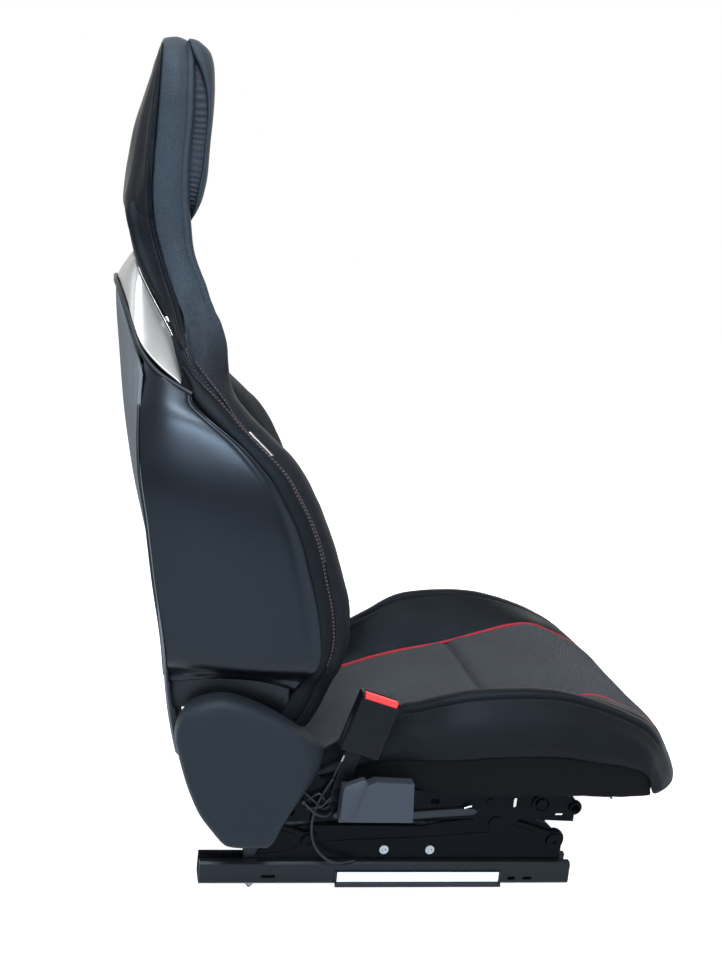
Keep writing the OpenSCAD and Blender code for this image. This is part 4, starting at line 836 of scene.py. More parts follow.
def make_wing():
    """Leather wing: one skin from the left bolster over the head restraint to the right bolster."""
    rings, level, n = wing_half()
    # The wing's leather is lighter round the head as painted sheen, and dark down the bolsters as painted
    # shade
    dress(closed_loft("wing_leather", over_the_top(rings)), "backrest", "head_leather_painted_light",
          ("bolster_left", "bolster_right", "head_band"))
    rows = np.flatnonzero((level > 470) & (level < 735))
    for row, at, k in (("outer", rows, SEAM_AT + 3), ("inner", rows[:-6], SEAM_AT - 3)):
        sew_on_both(f"seam_stitches_{row}_{{}}", rings[at, k], n[at, k], "backrest", "thread")
    # Stitching beside the front edge of the band, right round the head
    path, up = (over_the_top(grid[level > 735, FRONT_AT + 9]) for grid in (rings, n))
    sew("band_stitches", path, up, "backrest", "thread_dark", pitch=4.6, long=3.4, wide=1.1, deep=-0.15)
    return rings, level, n


wing, wing_level, wing_out = make_wing()


# ------------------------------------------------------------------ side rolls, panels and shell of the back
def make_side_rolls():
    """Leather roll on each side, from the wing's outer seam back to the side panel's front edge.

    Its section hangs between the seam C and the edge D. Above the panel, D closes in on C and the roll ends.
    """
    rows = np.flatnonzero(wing_level < 722)
    z = wing_level[rows]
    c = wing[rows, SEAM_AT + 1]
    w = curve(PANEL_W, z) - 4 * (1 - rise(z, 290, 340))
    d = points(curve(EDGE_FRONT, z) - 2, w - 1.5, dip(z, curve(EDGE_FRONT, z), w))
    d = mix(d, c + np.array([-7.0, -3.0, 1.0]), rise(z, 680, 720)[:, None])
    across = np.linalg.norm(d - c, axis=1, keepdims=True)
    out = unit(np.cross(d - c, np.gradient(c, axis=0)))
    out *= np.sign(out[:, 1:2])
    full = 0.17 * across
    thin, thick = np.minimum(6, 0.5 * across), np.minimum(10, 0.6 * across)
    # Share of the way from C to D and the way out, all round the section
    table = [(0, -0.4), (0.16, 0.55 * full), (0.45, full), (0.78, 0.75 * full), (0.97, 0.1 * full),
             (1.0, -thin), (0.5, -thick), (0.04, -thin)]
    controls = np.stack([mix(c, d, share) + way * out for share, way in table], 1)
    rings = through(controls, [6, 8, 8, 6, 5, 4, 4, 4], closed=True)
    # Rounded foot of five rows, and a long taper at the top that leans inwards
    a = np.radians(90 * (np.arange(5) + 0.5) / 5)
    rings[:5] = drawn_in(rings[:5], (0.7 + 0.3 * np.sin(a))[:, None, None])
    taper = np.linspace(1, 0.12, 16)[:, None, None]
    rings[-16:] = drawn_in(rings[-16:], taper) - 15 * (1 - taper) ** 0.7 * out[-16:, None]
    n = normals(rings, wrap=True)
    n *= np.sign((n[:, 14] * out).sum(1))[:, None, None]
    rings = rings + n * (0.35 * ripple(rings, 60, 3))[..., None]
    sewn = (z > 330) & (z < 690)
    on_both("side_roll_{}", rings, "backrest", "leather")
    for k in (3, 6):
        sew_on_both(f"roll_stitches_{k}_{{}}", rings[sewn, k], n[sewn, k], "backrest", "thread",
                    pitch=5.2, long=3.8, wide=1.1)


def panel_foot(u):
    """Height of the side panel's arched foot, from its rear edge (u = 0) to its front edge (u = 1)."""
    return 288 + 16 * np.sin(np.pi * u)


def panel_grid():
    """Outer face of the left side panel: rows from its arched foot to its top, columns from front to rear."""
    u = 1 - edge_steps(46, 0.02)[None, :]
    v = edge_steps(90, 0.012)[:, None]
    foot = panel_foot(u)
    z = mix(foot, 711 - 39 * u**0.7, v) - 14 * (1 - v) * v * np.sin(np.pi / 2 * u)
    x = mix(curve(EDGE_REAR, z) + 2.2, curve(EDGE_FRONT, z) - 0.3, u)
    y = side_y(z, u)
    # Soft step along the front edge and a shallow hollow in the upper middle
    y = y - 1.2 * bell(u, 0.93, 0.03) + 0.6 * bell(u, 0.985, 0.02)
    y = y - 1.5 * bell(u, 0.5, 0.28) * bell(z, 600, 60)
    # Bead round the arched foot, and the foot's edge turned inwards on a quarter round
    y = y + 1.8 * bell(z - foot, 4, 3) - 1.8 * bell(z - foot, 10, 3)
    face = points(x, y, z)
    q = np.array([26, 20, 14, 8, 3.5, 1.2])[:, None]
    turned = face[:1] + points(0 * u, -q, -2.5 + 1.5 * np.exp(-q / 2) + 0.06 * q)
    return np.concatenate([turned, face])


def rear_grid():
    """Outer face of the rear panel: u from the left edge to the right, v from the foot to the arched top."""
    u = 1 - 2 * edge_steps(84, 0.008)[None, :]
    v = edge_steps(80, 0.01)[:, None]
    beside = np.abs(u)
    top = curve([[0, 791], [0.35, 787], [0.55, 775], [0.7, 756], [0.82, 735], [0.92, 714], [1, 690]], beside)
    z = mix(147 + 40 * u**6, top, v)
    w = curve(REAR_W, z)
    k = beside**4
    x = mix(curve(REAR_MID, z), curve(EDGE_REAR, z), k)
    # Hollow below mid height, pressed border line inside the edge, and a long shallow field in the middle
    hollow = 10 * (1 - k**2) * (1 - rise(z, 400, 540))
    border = 1.4 * (bell(beside, 0.86, 0.02) * rise(z, 175, 215))
    field = 2.0 * rise(z, 230, 330) * (1 - rise(z, 600, 720)) * (1 - rise(beside, 0.45, 0.8))
    return points(x + hollow + border - field, u * w, z)


def bead(name, path, radius, body, look, sides=8):
    """Thin round trim along a path."""
    return dress(tube(name, path, radius, sides), body, look)


COLLAR_LOW = [(-420, 0, 793), (-418, 50, 792), (-413, 96, 784), (-406.5, 130, 771), (-399, 162, 750),
              (-386, 188, 725), (-363, 201, 702), (-336, 212, 684)]
COLLAR_UP = [(-400, 0, 822), (-399.5, 46, 823), (-399.5, 86, 822), (-392, 112, 806), (-379, 128, 783),
             (-364.5, 142, 760), (-347, 164, 730), (-335, 192, 688)]
RIM = [(-422, 0, 791), (-421, 52, 789), (-414, 98, 779), (-406, 134, 762), (-397, 164, 740), (-388, 187, 719),
       (-369, 200, 697), (-348, 209, 684), (-322, 219, 672)]


def collar_grid():
    """Outer face of the satin collar: rows from the lower to the upper edge, columns from right to left.

    Between its edges the face is full by a parabola across the way from edge to edge.
    """
    low, up = (np.vstack([flip_y(np.array(c[::-1], float)), c[1:]]) for c in (COLLAR_LOW, COLLAR_UP))
    low, up = through(low[None], 9)[0], through(up[None], 9)[0]
    v = edge_steps(14, 0.06)[:, None, None]
    n = unit(np.cross(np.gradient(low, axis=0), up - low))
    n *= np.sign(-n[len(n) // 2, 0])
    return mix(low[None], up[None], v) + n[None] * (2.4 * 4 * v * (1 - v))


def make_back_shell():
    """Side panels, rear panel, collar and the dark trims between them."""
    panel_on_both("side_panel_{}_skin", panel_grid(), 4, 2.2, "satin", ["side_panel_{}"])
    dress(shell("rear_panel_skin", rear_grid(), 3.5, 2.5, BEHIND), "backrest", "rear",
          ("rear_panel",))
    dress(shell("trim_collar_skin", collar_grid(), 2.5, 1.2, BEHIND), "backrest", "collar",
          ("trim_collar",))
    # Dark rim under the collar, over the rear panel's and side panels' top edges
    rim = line(RIM, 5)
    bead("collar_rim", np.vstack([flip_y(rim[::-1]), rim[1:]]), 3.4, "backrest", "trim")
    # Bead in the gap between side and rear panel
    z = np.linspace(300, 700, 60)
    gap = points(curve(EDGE_REAR, z) + 1.2, curve(HALF_W, z) - 17.5, z)
    for name, side in SIDES:
        bead(f"rear_gap_bead_{name}", sided(gap, side), 2.0, "backrest", "trim")


def make_foot_trims():
    """Closing trim under each side panel's arched foot, a bent strip that passes inside the recliner cover.

    Its rows run from rear to front; its section drops from the panel's foot and turns inwards.
    """
    u = np.linspace(0.03, 0.96, 44)
    z = panel_foot(u)
    x = mix(curve(EDGE_REAR, z) + 2.2, curve(EDGE_FRONT, z), u)
    y = np.minimum(side_y(z, u) - 4.6, 221)
    drop = np.array([6, 2, -8, -20, -32, -44.0])
    inward = np.array([0, 0, 0.3, 1.2, 3.5, 8.0])
    strip = through(points(x[:, None], y[:, None] - inward, z[:, None] + drop), 5)
    panel_on_both("foot_trim_{}", strip, 2.5, 1.0, "trim")


GUSSET_X = [[640, -290], [656, -309], [672, -322], [688, -334], [709, -341], [730, -348], [760, -366]]
GUSSET_Y = [[640, 231], [656, 221], [672, 209], [688, 190], [709, 176], [730, 161], [760, 140]]


def make_gussets():
    """Dark leather that closes each shoulder, between the wing's seam, the roll and the collar's tip."""
    rows = np.flatnonzero((wing_level > SHOULDER_Z) & (wing_level < 758))
    z = wing_level[rows]
    seam = wing[rows, SEAM_AT + 2] + [-3.0, -2.0, 0]
    under = points(curve(GUSSET_X, z) - 15, curve(GUSSET_Y, z) - 5, z - 15)
    share = np.linspace(0, 1, 14)[None, :, None]
    grid = mix(seam[:, None], under[:, None], share)
    n = normals(grid)
    n *= np.sign(n[len(n) // 2, 7, 1])
    grid = grid + n * (2.5 * np.sin(np.pi * share) + 0.5 * ripple(grid, 30, 17)[..., None])
    panel_on_both("shoulder_gusset_{}", grid, 3, 1, "leather")


make_side_rolls()
make_gussets()
make_back_shell()
make_foot_trims()


# ------------------------------------------------------------------ covers on the base
COVER_UP = [(-313, 225), (-312, 242), (-306, 258), (-295, 272), (-278, 281), (-256, 285), (-232, 281),
            (-205, 271), (-175, 256), (-144, 236), (-124, 221), (-113, 208)]
COVER_DOWN = [(-118, 180), (-139, 142), (-160, 108), (-176, 76), (-200, 73), (-222, 73), (-238, 77),
              (-255, 95), (-275, 121), (-291, 154), (-303, 188), (-310, 212)]
# Ways in from the outline, and the half width of the cover's face there
COVER_IN = np.array([0, 0, 0.3, 1.0, 2.2, 3.8, 6, 9, 13, 18, 25, 34, 44, 56, 70, 84, 96])
COVER_Y = np.array([228.5, 236, 244, 250, 253.6, 256, 258.2, 259.8, 260.9, 261.6, 262.2, 262.7, 263.0, 263.2,
                    263.3, 263.3, 263.3])
COVER_CREASE = [[73, -175], [93, -168], [132, -156], [165, -146], [194, -140], [215, -141], [236, -150]]


def make_recliner_covers():
    """Moulded cover over each recliner: its outline drawn in towards the hub as the face rises.

    Each row is the outline moved inwards by a way; y follows a table of that way, and in front of a slanted
    crease the face falls away towards the wing.
    """
    outline = np.array([(x, 0, z) for x, z in COVER_UP + COVER_DOWN], float)
    outline = through(outline[None], 6, closed=True)[0]
    away = np.array([HUB_X + 2.0, 0, 190]) - outline
    far = np.linalg.norm(away, axis=1, keepdims=True)
    share = np.minimum(COVER_IN[:, None, None] / far[None], 0.96) * np.minimum(1, far / 70)[None]
    rings = outline[None] + away[None] * share
    rings[..., 1] = COVER_Y[:, None]
    ahead = np.maximum(0, rings[..., 0] - curve(COVER_CREASE, rings[..., 2]))
    rings[..., 1] -= (0.52 * ahead**1.05) * rise(rings[..., 1], 229, 243)
    rings[..., 1] -= 0.5 * bell(COVER_IN[:, None], 13, 3.5) * rise(rings[..., 1], 229, 243)
    rings = np.concatenate([rings, drawn_in(rings[-1:], 0.5)])
    on_both("recliner_cover_{}_skin", rings, "base", "cover", ["recliner_cover_{}"])


make_recliner_covers()


# ------------------------------------------------------------------ head restraint
def smooth_rows(table, z):
    """Rows of controls at heights z: each entry of table is x and y."""
    return np.stack([points(x, y, z) for x, y in table], 1)


def mirrored(half, rear, w):
    """Controls of a whole section: its half from the middle outwards, on both sides, and three behind."""
    return ([(x, -y) for x, y in half[::-1]] + half[1:]
            + [(rear, 0.5 * w), (rear, 0 * w), (rear, -0.5 * w)])


# Head pad: half width, face, way of its side before the band's front, and how far its rear is drawn in
HEAD_W = [[872, 80], [880, 92], [892, 103], [905, 109], [980, 112], [1060, 112], [1085, 107], [1097, 97],
          [1103, 84]]
HEAD_FACE = [[872, -333], [879, -329], [890, -323.5], [905, -318], [920, -315], [939, -312.5], [985, -311],
             [1031, -311], [1060, -312], [1078, -314], [1092, -320], [1103, -334]]
HEAD_SIDE = [[872, -4], [890, 4], [915, 10], [950, 15], [1030, 14], [1060, 7], [1083, -3], [1103, -8]]
HEAD_PINCH = [[872, 0.5], [900, 1], [1080, 1], [1103, 0.6]]
# Share of the pad's half width where its two upright seams lie
PAD_SEAM = 0.6


def make_head_pad():
    """Front pad of the head restraint: rows in height, section round from the left side over the face.

    The face stands in front of the band; near the top and foot the rows draw in on a quarter round.
    """
    t = np.linspace(0, 1, 74)
    z = mix(873, 1102, (1 - np.cos(np.pi * t)) / 2)
    w, x, pinch = curve(HEAD_W, z), curve(HEAD_FACE, z), curve(HEAD_PINCH, z)
    f = curve(BAND_FRONT, z) + curve(HEAD_SIDE, z)
    back = mix(f, x, 0.02)
    half = [(x, 0 * w), (mix(f, x, 0.98), 0.42 * w), (mix(f, x, 0.9), 0.72 * w), (mix(f, x, 0.7), 0.9 * w),
            (mix(f, x, 0.42), w * 0.985), (mix(f, x, 0.24), w), (mix(f, x, 0.08), w - 1.5 * pinch),
            (back, w - 5 * pinch)]
    per = [5, 5, 6, 7, 8, 9, 10, 10, 9, 8, 7, 6, 5, 5, 6, 6, 6, 6]
    rings = through(smooth_rows(mirrored(half, back, w), z), per, closed=True)
    face = rise(rings[..., 0], f[:, None], f[:, None] + 8)
    seams = bell(np.abs(rings[..., 1]), PAD_SEAM * w[:, None], 2.2) * face * rise(z, 890, 905)[:, None]
    rings = sunk(rings, 1.5 * seams + 0.5 * ripple(rings, 70, 21))
    # The pad's leather is lighter than the black leather, painted sheen
    dress(closed_loft("head_pad_skin", rings), "backrest", "head_leather_painted_light", ("head_pad",))
    rows = np.arange(len(z))[6:-6]
    for name, side in SIDES:
        seam = np.argmin(np.abs(rings[..., 1] - side * PAD_SEAM * w[:, None]) + 1e3 * (face < 0.5), axis=1)
        for k in (-1, 1):
            p = rings[rows, seam[rows]] + np.array([0, k * 3.2, 0])
            p[:, 0] = [across_face(rings[i, 20:75], y) for i, y in zip(rows, p[:, 1])]
            word = "in" if k * side < 0 else "out"
            sew(f"pad_stitches_{name}_{word}", p, np.tile(AHEAD, (len(p), 1)), "backrest", "thread_dark",
                pitch=4.6, long=3.4, wide=0.8)


def across_face(row, y):
    """x of the pad's face at y, read between the points of one row."""
    order = np.argsort(row[:, 1])
    return np.interp(y, row[order, 1], row[order, 0])


# Gathered leather: middle and half sizes of its loop, the power that rounds it, and how far it stands ahead
GATHER_Z, GATHER_HALF, GATHER_POWER = 989, (91, 93), 0.34
GATHER_AHEAD = [[872, -6], [890, 3], [915, 10], [950, 15], [1040, 15], [1075, 9], [1103, -3]]


def make_head_gather():
    """Gathered leather between band and pad: a sleeve round the pad's side, in fine folds across it.

    Its loop is a rounded rectangle, by a power of the cosine and sine; its section runs from inside the band
    to the pad's rear edge, and the folds are a wave round the loop, strongest in the middle of the section.
    """
    a = np.linspace(0, 2 * np.pi, 720, endpoint=False)
    y, z = (np.sign(wave) * np.abs(wave) ** GATHER_POWER for wave in (np.cos(a), np.sin(a)))
    loop = points(0.0, GATHER_HALF[0] * y, GATHER_Z + GATHER_HALF[1] * z)
    w = np.r_[0, np.cumsum(np.linalg.norm(np.diff(np.vstack([loop, loop[:1]]), axis=0), axis=1))]
    even = np.linspace(0, w[-1], 900, endpoint=False)
    loop = np.stack([np.interp(even, w, np.r_[loop[:, i], loop[0, i]]) for i in range(3)], 1)
    out = unit((loop - [0, 0, GATHER_Z]) * np.array([0, 1, 1]))
    f = curve(BAND_FRONT, loop[:, 2])
    ahead = curve(GATHER_AHEAD, loop[:, 2]) / 15
    section = [(-14, 8), (-7, 11), (-1, 12), (5, 12.5), (11, 13.5), (17, 16.5), (17, 11), (2, 2), (-13, 0)]
    rings = np.stack([loop + points(f + (x * ahead if x > 0 else x), 0, 0) + r * out for x, r in section], 1)
    rings = through(rings, [4, 4, 4, 4, 4, 3, 3, 3, 3], closed=True)
    fold = np.sin(even / 1.1 + 2.6 * np.sin(even / 31) + 1.9 * np.sin(even / 11 + 1))[:, None]
    fold = fold * (0.65 + 0.35 * np.sin(even / 17 + 2))[:, None]
    k = np.arange(rings.shape[1])[None]
    rings += out[:, None] * ((0.95 * fold - 0.4) * bell(k, 12, 9))[..., None]
    rings[..., 0] += 0.6 * np.roll(fold, 3, 0) * bell(k, 12, 7)
    rings = np.concatenate([rings, rings[:1]])
    dress(closed_loft("head_gather", rings), "backrest", "gather")


def folds(behind, z):
    """Depth of the lengthwise folds at a way behind the band's edge: ridge, broad hollow and soft swell."""
    second = curve([[700, 14], [800, 19], [880, 24], [1000, 22], [1090, 14]], z)
    fade = rise(z, 705, 760)
    return fade * (1.8 * bell(behind, 3.5, 2.2) - 1.6 * bell(behind, 8.5, 3) + 2.2 * bell(behind, second, 7)
                   - 1.2 * bell(behind, second * 1.6 + 5, 8) * rise(z, 850, 910))


def make_neck_strips():
    """Leather behind the band on each side of the neck, from the shoulder up to the back of the head."""
    path, across = arm_path(0.8)
    keep = (path[:, 1] > 688) & (path[:, 1] < 898) & (path[:, 0] > 90)
    path, across = path[keep], across[keep]
    z = path[:, 1]
    b = curve(BAND_REAR, z) + 0.5
    r = curve(COVER_REAR, z) + 4 * rise(z, 878, 906)
    half = BAND_W / 2 - 1 - 5 * rise(z, 878, 906)
    deep = b - r
    table = [(b, half + 0.5), (b - 0.14 * deep, half + 0.6), (b - 0.28 * deep, half + 0.4),
             (b - 0.44 * deep, half), (b - 0.66 * deep, half - 1), (r + 0.1 * deep, half - 4), (r, half - 10),
             (r - 0.5, 0), (r, 9 - half), (r + 0.3 * deep, 2 - half), (b, 1 - half), (b + 2, 0)]
    rings = through(along_path(table, path, across), [5, 5, 5, 5, 5, 5, 5, 5, 4, 4, 4, 4], closed=True)
    way = ways(rings, 1)
    rings = sunk(rings, (folds(way, rings[..., 2]) + 0.5 * ripple(rings, 55, 31)) * rise(way, 0, 3))
    foot = rise(z, 688, 718)
    rings = drawn_in(rings, ((1 - 0.14 * rise(z, 862, 898)) * (0.25 + 0.75 * foot))[:, None, None])
    rings[..., 1] -= 11 * (1 - foot)[:, None]
    on_both("neck_strip_{}", rings, "backrest", "leather")


HEAD_BACK_W = [[872, 122], [880, 124], [900, 124], [1050, 122], [1078, 112], [1088, 100], [1096, 84]]
HEAD_BACK = [[871, -405], [875, -410], [882, -415], [894, -418.5], [915, -418], [946, -416], [988, -411],
             [1035, -399], [1065, -391], [1085, -386], [1096, -383]]
HEAD_BACK_PER = [6, 8, 10, 12, 12, 12, 12, 12, 12, 10, 8, 6, 4, 4, 4, 4]


def make_head_back():
    """Ridged leather back of the head restraint, with folds along the band; squarer towards its foot."""
    z = 871 + 224 * edge_steps(70, 0.02)
    w, r = curve(HEAD_BACK_W, z), curve(HEAD_BACK, z)
    b = curve(BAND_REAR, np.minimum(z, 1030)) - 0.4
    t = 1 - rise(z, 872, 950)
    # Share of the way to the rear and of the half width at each control, above and at the foot
    shares = [(0.93, 0.98, 0.56, 0.78), (0.74, 0.86, 0.77, 0.93), (0.45, 0.6, 0.92, 0.985)]
    half = [(r, 0 * w), (r + 0.6, mix(0.3, 0.5, t) * w)]
    half += [(mix(b, r, mix(deep, deeper, t)), mix(out, wider, t) * w) for deep, deeper, out, wider in shares]
    half += [(mix(b, r, 0.25), w), (mix(b, r, 0.02), w + 0.5)]
    rings = through(smooth_rows(mirrored(half, b, w), z), HEAD_BACK_PER, closed=True)
    way = ways(rings, 1)
    last = sum(HEAD_BACK_PER[:12])
    behind = np.minimum(way, way[:, last][:, None] - way)
    outer = rise(-rings[..., 0], -b[:, None], -b[:, None] + 3)
    rings = sunk(rings, outer * (folds(behind, rings[..., 2]) + 0.5 * ripple(rings, 60, 41)))
    dress(closed_loft("head_back_skin", rings), "backrest", "leather", ("head_back_cover",))


make_head_pad()
make_head_gather()
make_head_back()
make_neck_strips()


# ------------------------------------------------------------------ backrest centre and cushion
# Half widths of the cushion and of its cloth middle, and x of the sewn cross channel
CUSHION_HALF, SEAM_HALF, CROSS_X = 258, 155, 148
# Heights of the cushion by x: middle, crest of the side, top and foot of the skirt, underside; half widths
MID_Z = [[-195, 144], [-158, 147], [-120, 154], [-60, 170], [-17, 185], [24, 200], [72, 214], [138, 229],
         [205, 250], [255, 265], [292, 268], [326, 257], [350, 248], [372, 237], [392, 223], [406, 205],
         [417, 185], [425, 171], [430, 163]]
CREST_Z = [[-195, 145], [-158, 150], [-120, 168], [-80, 196], [-50, 227], [-20, 248], [19, 265], [49, 279],
           [85, 290], [127, 296], [177, 298], [227, 294], [278, 280], [322, 266], [360, 250], [390, 226],
           [412, 197], [424, 179], [430, 164]]
SKIRT_TOP = [[-195, 142], [-158, 146], [-60, 166], [-20, 182], [30, 193], [85, 202], [155, 210], [212, 209],
             [272, 203], [332, 195], [366, 187], [384, 176], [396, 158], [410, 155], [430, 160]]
SKIRT_LOW = [[-120, 128], [-60, 140], [-30, 147], [64, 149], [134, 151], [250, 152], [300, 151.5], [360, 151],
             [395, 151]]
UNDER_Z = [[-195, 126], [-158, 126], [-120, 131], [-90, 135.5], [-60, 140], [-10, 147], [340, 147],
           [395, 148], [415, 152], [430, 158]]
CUSHION_W = [[-195, 198], [-158, 206], [-90, 208], [-20, 217], [20, 234], [60, 249], [120, 257], [200, 258],
             [300, 258], [360, 255], [430, 246]]


def bow(s, y):
    """Place along the seat of a point that lies at s in the middle: the front corners fall back."""
    return s - 75 * (np.maximum(0, s - 250) / 180) ** 2 * np.abs(y / CUSHION_HALF) ** 5


def nose_steps(n):
    """Stations from the rear of the cushion to its nose, closer together near the nose."""
    t = np.linspace(0, 1, n)
    return -195 + 625 * (1 - (1 - t) ** 1.5)


def cushion_rows(s, controls, per):
    """Rings of the cushion at stations s through controls of y and z, bowed back at the front corners."""
    rings = through(np.stack([points(s, y, z) for y, z in controls], 1), per, closed=True)
    rings[..., 0] = bow(rings[..., 0], rings[..., 1])
    return rings


def seam_drop(s):
    """Depth of the piped seam under the middle's height: 6 mm, less where the cushion is thin."""
    return np.minimum(6, (curve(MID_Z, s) - curve(UNDER_Z, s)) / 3)


def channel(way, deep, wide, power, swell, beside):
    """Depth of a sewn channel at a way from it, with a swell of 13 mm width on each side of it."""
    return (deep * np.exp(-np.abs(way / wide) ** power) - swell * bell(way, -beside, 13)
            - swell * bell(way, beside, 13))


def make_cushion_middle():
    """Cloth middle of the cushion with its sewn cross channel: a crowned closed pad between the pipings."""
    s = np.sort(np.r_[nose_steps(190), CROSS_X + np.linspace(-11, 11, 19)])
    top, low = curve(MID_Z, s), curve(UNDER_Z, s)
    crown = 4 - 6 * np.clip((s - 280) / 80, 0, 1)
    q = seam_drop(s)
    h = SEAM_HALF
    half = [(0, top + crown), (60, top + crown), (115, top + crown / 2 + 0.5), (h - 16, top - 0.3),
            (h - 6, top - 0.35 * q), (h - 1.5, top - q)]
    deep = np.maximum(top - 30, low + 0.4)
    flank = mix(top - q, deep, 0.6)
    under = [(h - 3, flank), (h - 14, deep), (0, deep), (14 - h, deep), (3 - h, flank)]
    per = [5, 5, 8, 10, 12, 12, 10, 8, 5, 5, 3, 4, 8, 8, 4, 3]
    rings = cushion_rows(s, [(-a, b) for a, b in half[:0:-1]] + half + under, per)
    facing = rise(outward(rings)[..., 2], 0.1, 0.5)
    groove = channel(rings[..., 0] - CROSS_X, 12, 4.2, 1.4, 1.6, 18)
    rings = sunk(rings, facing * (groove + 0.6 * ripple(rings, 120, 51) + 0.2 * ripple(rings, 45, 52)))
    dress(closed_loft("cushion_middle", rings), "base", "cloth", ("cushion",))


# Samples between the controls of the cushion's side, and the columns of its two sewn channels
BOLSTER_PER = [6, 10, 12, 8, 10, 12, 10, 8, 5, 5, 5, 5, 4, 4]
CREST_AT = sum(BOLSTER_PER[:4]) + 4
INNER_AT = sum(BOLSTER_PER[:2]) + 10


def make_cushion_sides():
    """Leather bolsters of the cushion, from the piped seam over the crest to the skirt, a closed pad each."""
    s = nose_steps(220)
    z0, z1, zs, low, w = (curve(table, s) for table in (MID_Z, CREST_Z, SKIRT_TOP, UNDER_Z, CUSHION_W))
    q = seam_drop(s)
    h, yc = SEAM_HALF, w - 38
    tip = np.clip((s - 400) / 30, 0, None)
    controls = [(h + 1.5, z0 - q), (h + 9, mix(z0, z1, 0.13)), ((h + yc) / 2 + 2, mix(z0, z1, 0.66)),
                (yc - 6, z1 - 1.2), (yc + 5, z1 - 0.4), (w - 16, z1 - (10 - 7 * tip) - (z1 - zs) * 0.1),
                (w - 5.5, mix(z1, zs, 0.42)), (w - 0.5, mix(z1, zs, 0.74)), (w - 3.5, mix(z1, zs, 0.94)),
                (w - 9, zs - 0.5), (w - 18, mix(zs, low, 0.25)), (mix(h, w, 0.5), mix(zs, low, 0.6)),
                (h + 5, np.maximum(mix(z0, low, 0.7), low + 1)), (h + 2, mix(z0 - q, low, 0.35))]
    rings = cushion_rows(s, controls, BOLSTER_PER)
    n = outward(rings)
    way = ways(rings, 1)
    live = (rise(s, -40, 20) * (1 - rise(s, 372, 400)))[:, None]
    sink = 0
    for at, deep, wide, swell, beside in ((CREST_AT, 2.3, 2.1, 0.7, 7), (INNER_AT, 1.8, 1.9, 0.6, 6)):
        d = way - way[:, at][:, None]
        swells = swell * bell(d, beside, 4) + swell * bell(d, -beside, 4)
        sink = sink + live * (deep * bell(d, 0, wide) - swells)
    rings = rings - n * (sink + 0.7 * ripple(rings, 90, 61) + 0.25 * ripple(rings, 34, 62))[..., None]
    rows = np.flatnonzero((s > -30) & (s < 372))
    on_both("cushion_side_{}", rings, "base", "leather")
    for row, k in (("in", CREST_AT - 2), ("out", CREST_AT + 2)):
        sew_on_both(f"cushion_stitches_{row}_{{}}", rings[rows, k], n[rows, k], "base", "thread_dark")


def make_skirts():
    """Cloth skirt sewn under each side of the cushion: it hangs from the leather and turns under."""
    s = np.linspace(-112, 388, 132)
    w, zs, low = curve(CUSHION_W, s), curve(SKIRT_TOP, s), curve(SKIRT_LOW, s)
    controls = [(w - 6, zs + 1), (w - 5.2, mix(zs, low, 0.25)), (w - 7, mix(zs, low, 0.65)),
                (w - 11, low + 1), (w - 20, low - 1.5), (w - 22, low + 1), (w - 14, low + 4),
                (w - 11, mix(zs, low, 0.5)), (w - 10, zs)]
    rings = cushion_rows(s, controls, [6, 6, 6, 6, 3, 4, 4, 4, 3])
    rings = sunk(rings, -(0.5 * ripple(rings, 50, 71) + 0.3 * ripple(rings, 22, 72)))
    on_both("skirt_{}", rings, "base", "skirt", ["cushion_skirt"])


def make_pipings():
    """Red piping in the two long seams of the cushion and of the backrest."""
    s = nose_steps(160)
    s = s[(s > -60) & (s < 424)]
    seat = points(bow(s, SEAM_HALF), SEAM_HALF, curve(MID_Z, s) - seam_drop(s) + 2.6)
    t = np.linspace(FOOT_Z, 668, 120)
    back = points(curve(PAD_FACE, t) - 8.4, PAD_HALF + 0.4, dip(t, curve(PAD_FACE, t) - 10, 150))
    for name, side in SIDES:
        for label, path, radius, rides in (("cushion", seat, 2.7, "base"), ("back", back, 2.0, "backrest")):
            bead(f"{label}_piping_{name}", sided(path, side), radius, rides, "piping", 10)


def make_back_pad():
    """Cloth middle of the backrest with two sewn cross channels, a closed pad between the bolsters."""
    z = 197 + 604 * edge_steps(150, 0.02)
    w, x, b = curve(PAD_W, z), curve(PAD_FACE, z), curve(PAD_REAR, z)
    # Ends rounded off over the last 10 mm
    ends = [1 - np.clip(way / 10, 0, 1) for way in (z - 197, 801 - z)]
    k = np.sqrt(np.maximum(0.02, 1 - ends[0] ** 2)) * np.sqrt(np.maximum(0.02, 1 - ends[1] ** 2))
    c = mix(b, x, 0.5)
    x, b = mix(c, x, 0.6 + 0.4 * k), mix(c, b, 0.8 + 0.2 * k)
    half = [(x + 4, 0 * w), (x + 3.4, 0.4 * w), (x + 2, 0.7 * w), (x - 0.6, 0.88 * w), (x - 4.5, 0.965 * w),
            (x - 11, w - 0.3), (mix(x, b, 0.6), w - 1), (b + 1, w - 4)]
    per = [3, 4, 6, 8, 10, 12, 12, 12, 12, 10, 8, 6, 4, 3, 4, 4, 4, 4]
    rings = through(smooth_rows(mirrored(half, b, w), z), per, closed=True)
    facing = rise(outward(rings)[..., 0], 0.1, 0.5)
    sink = 0.5 * ripple(rings, 110, 81)
    for height in (395, 545):
        sink = sink + channel(rings[..., 2] - height, 4.5, 4.5, 1.6, 1.3, 18)
    dress(closed_loft("back_pad_skin", sunk(rings, facing * sink)), "backrest", "cloth",
          ("back_pad",))


make_cushion_middle()
make_cushion_sides()
make_skirts()
make_pipings()
make_back_pad()


# ------------------------------------------------------------------ buckle, tag, clips and wires
# Zero point of the buckle's own axes, and its lean to the front
BUCKLE_AT, BUCKLE_LEAN = (-82, -235, 140), np.radians(16.7)


def in_buckle(x, q, z):
    """Place of a point of the buckle: x along its width, q out from its middle to its side, z up it."""
    a = BUCKLE_LEAN
    return np.array(BUCKLE_AT) + points(x * np.cos(a) + z * np.sin(a), -q, z * np.cos(a) - x * np.sin(a))


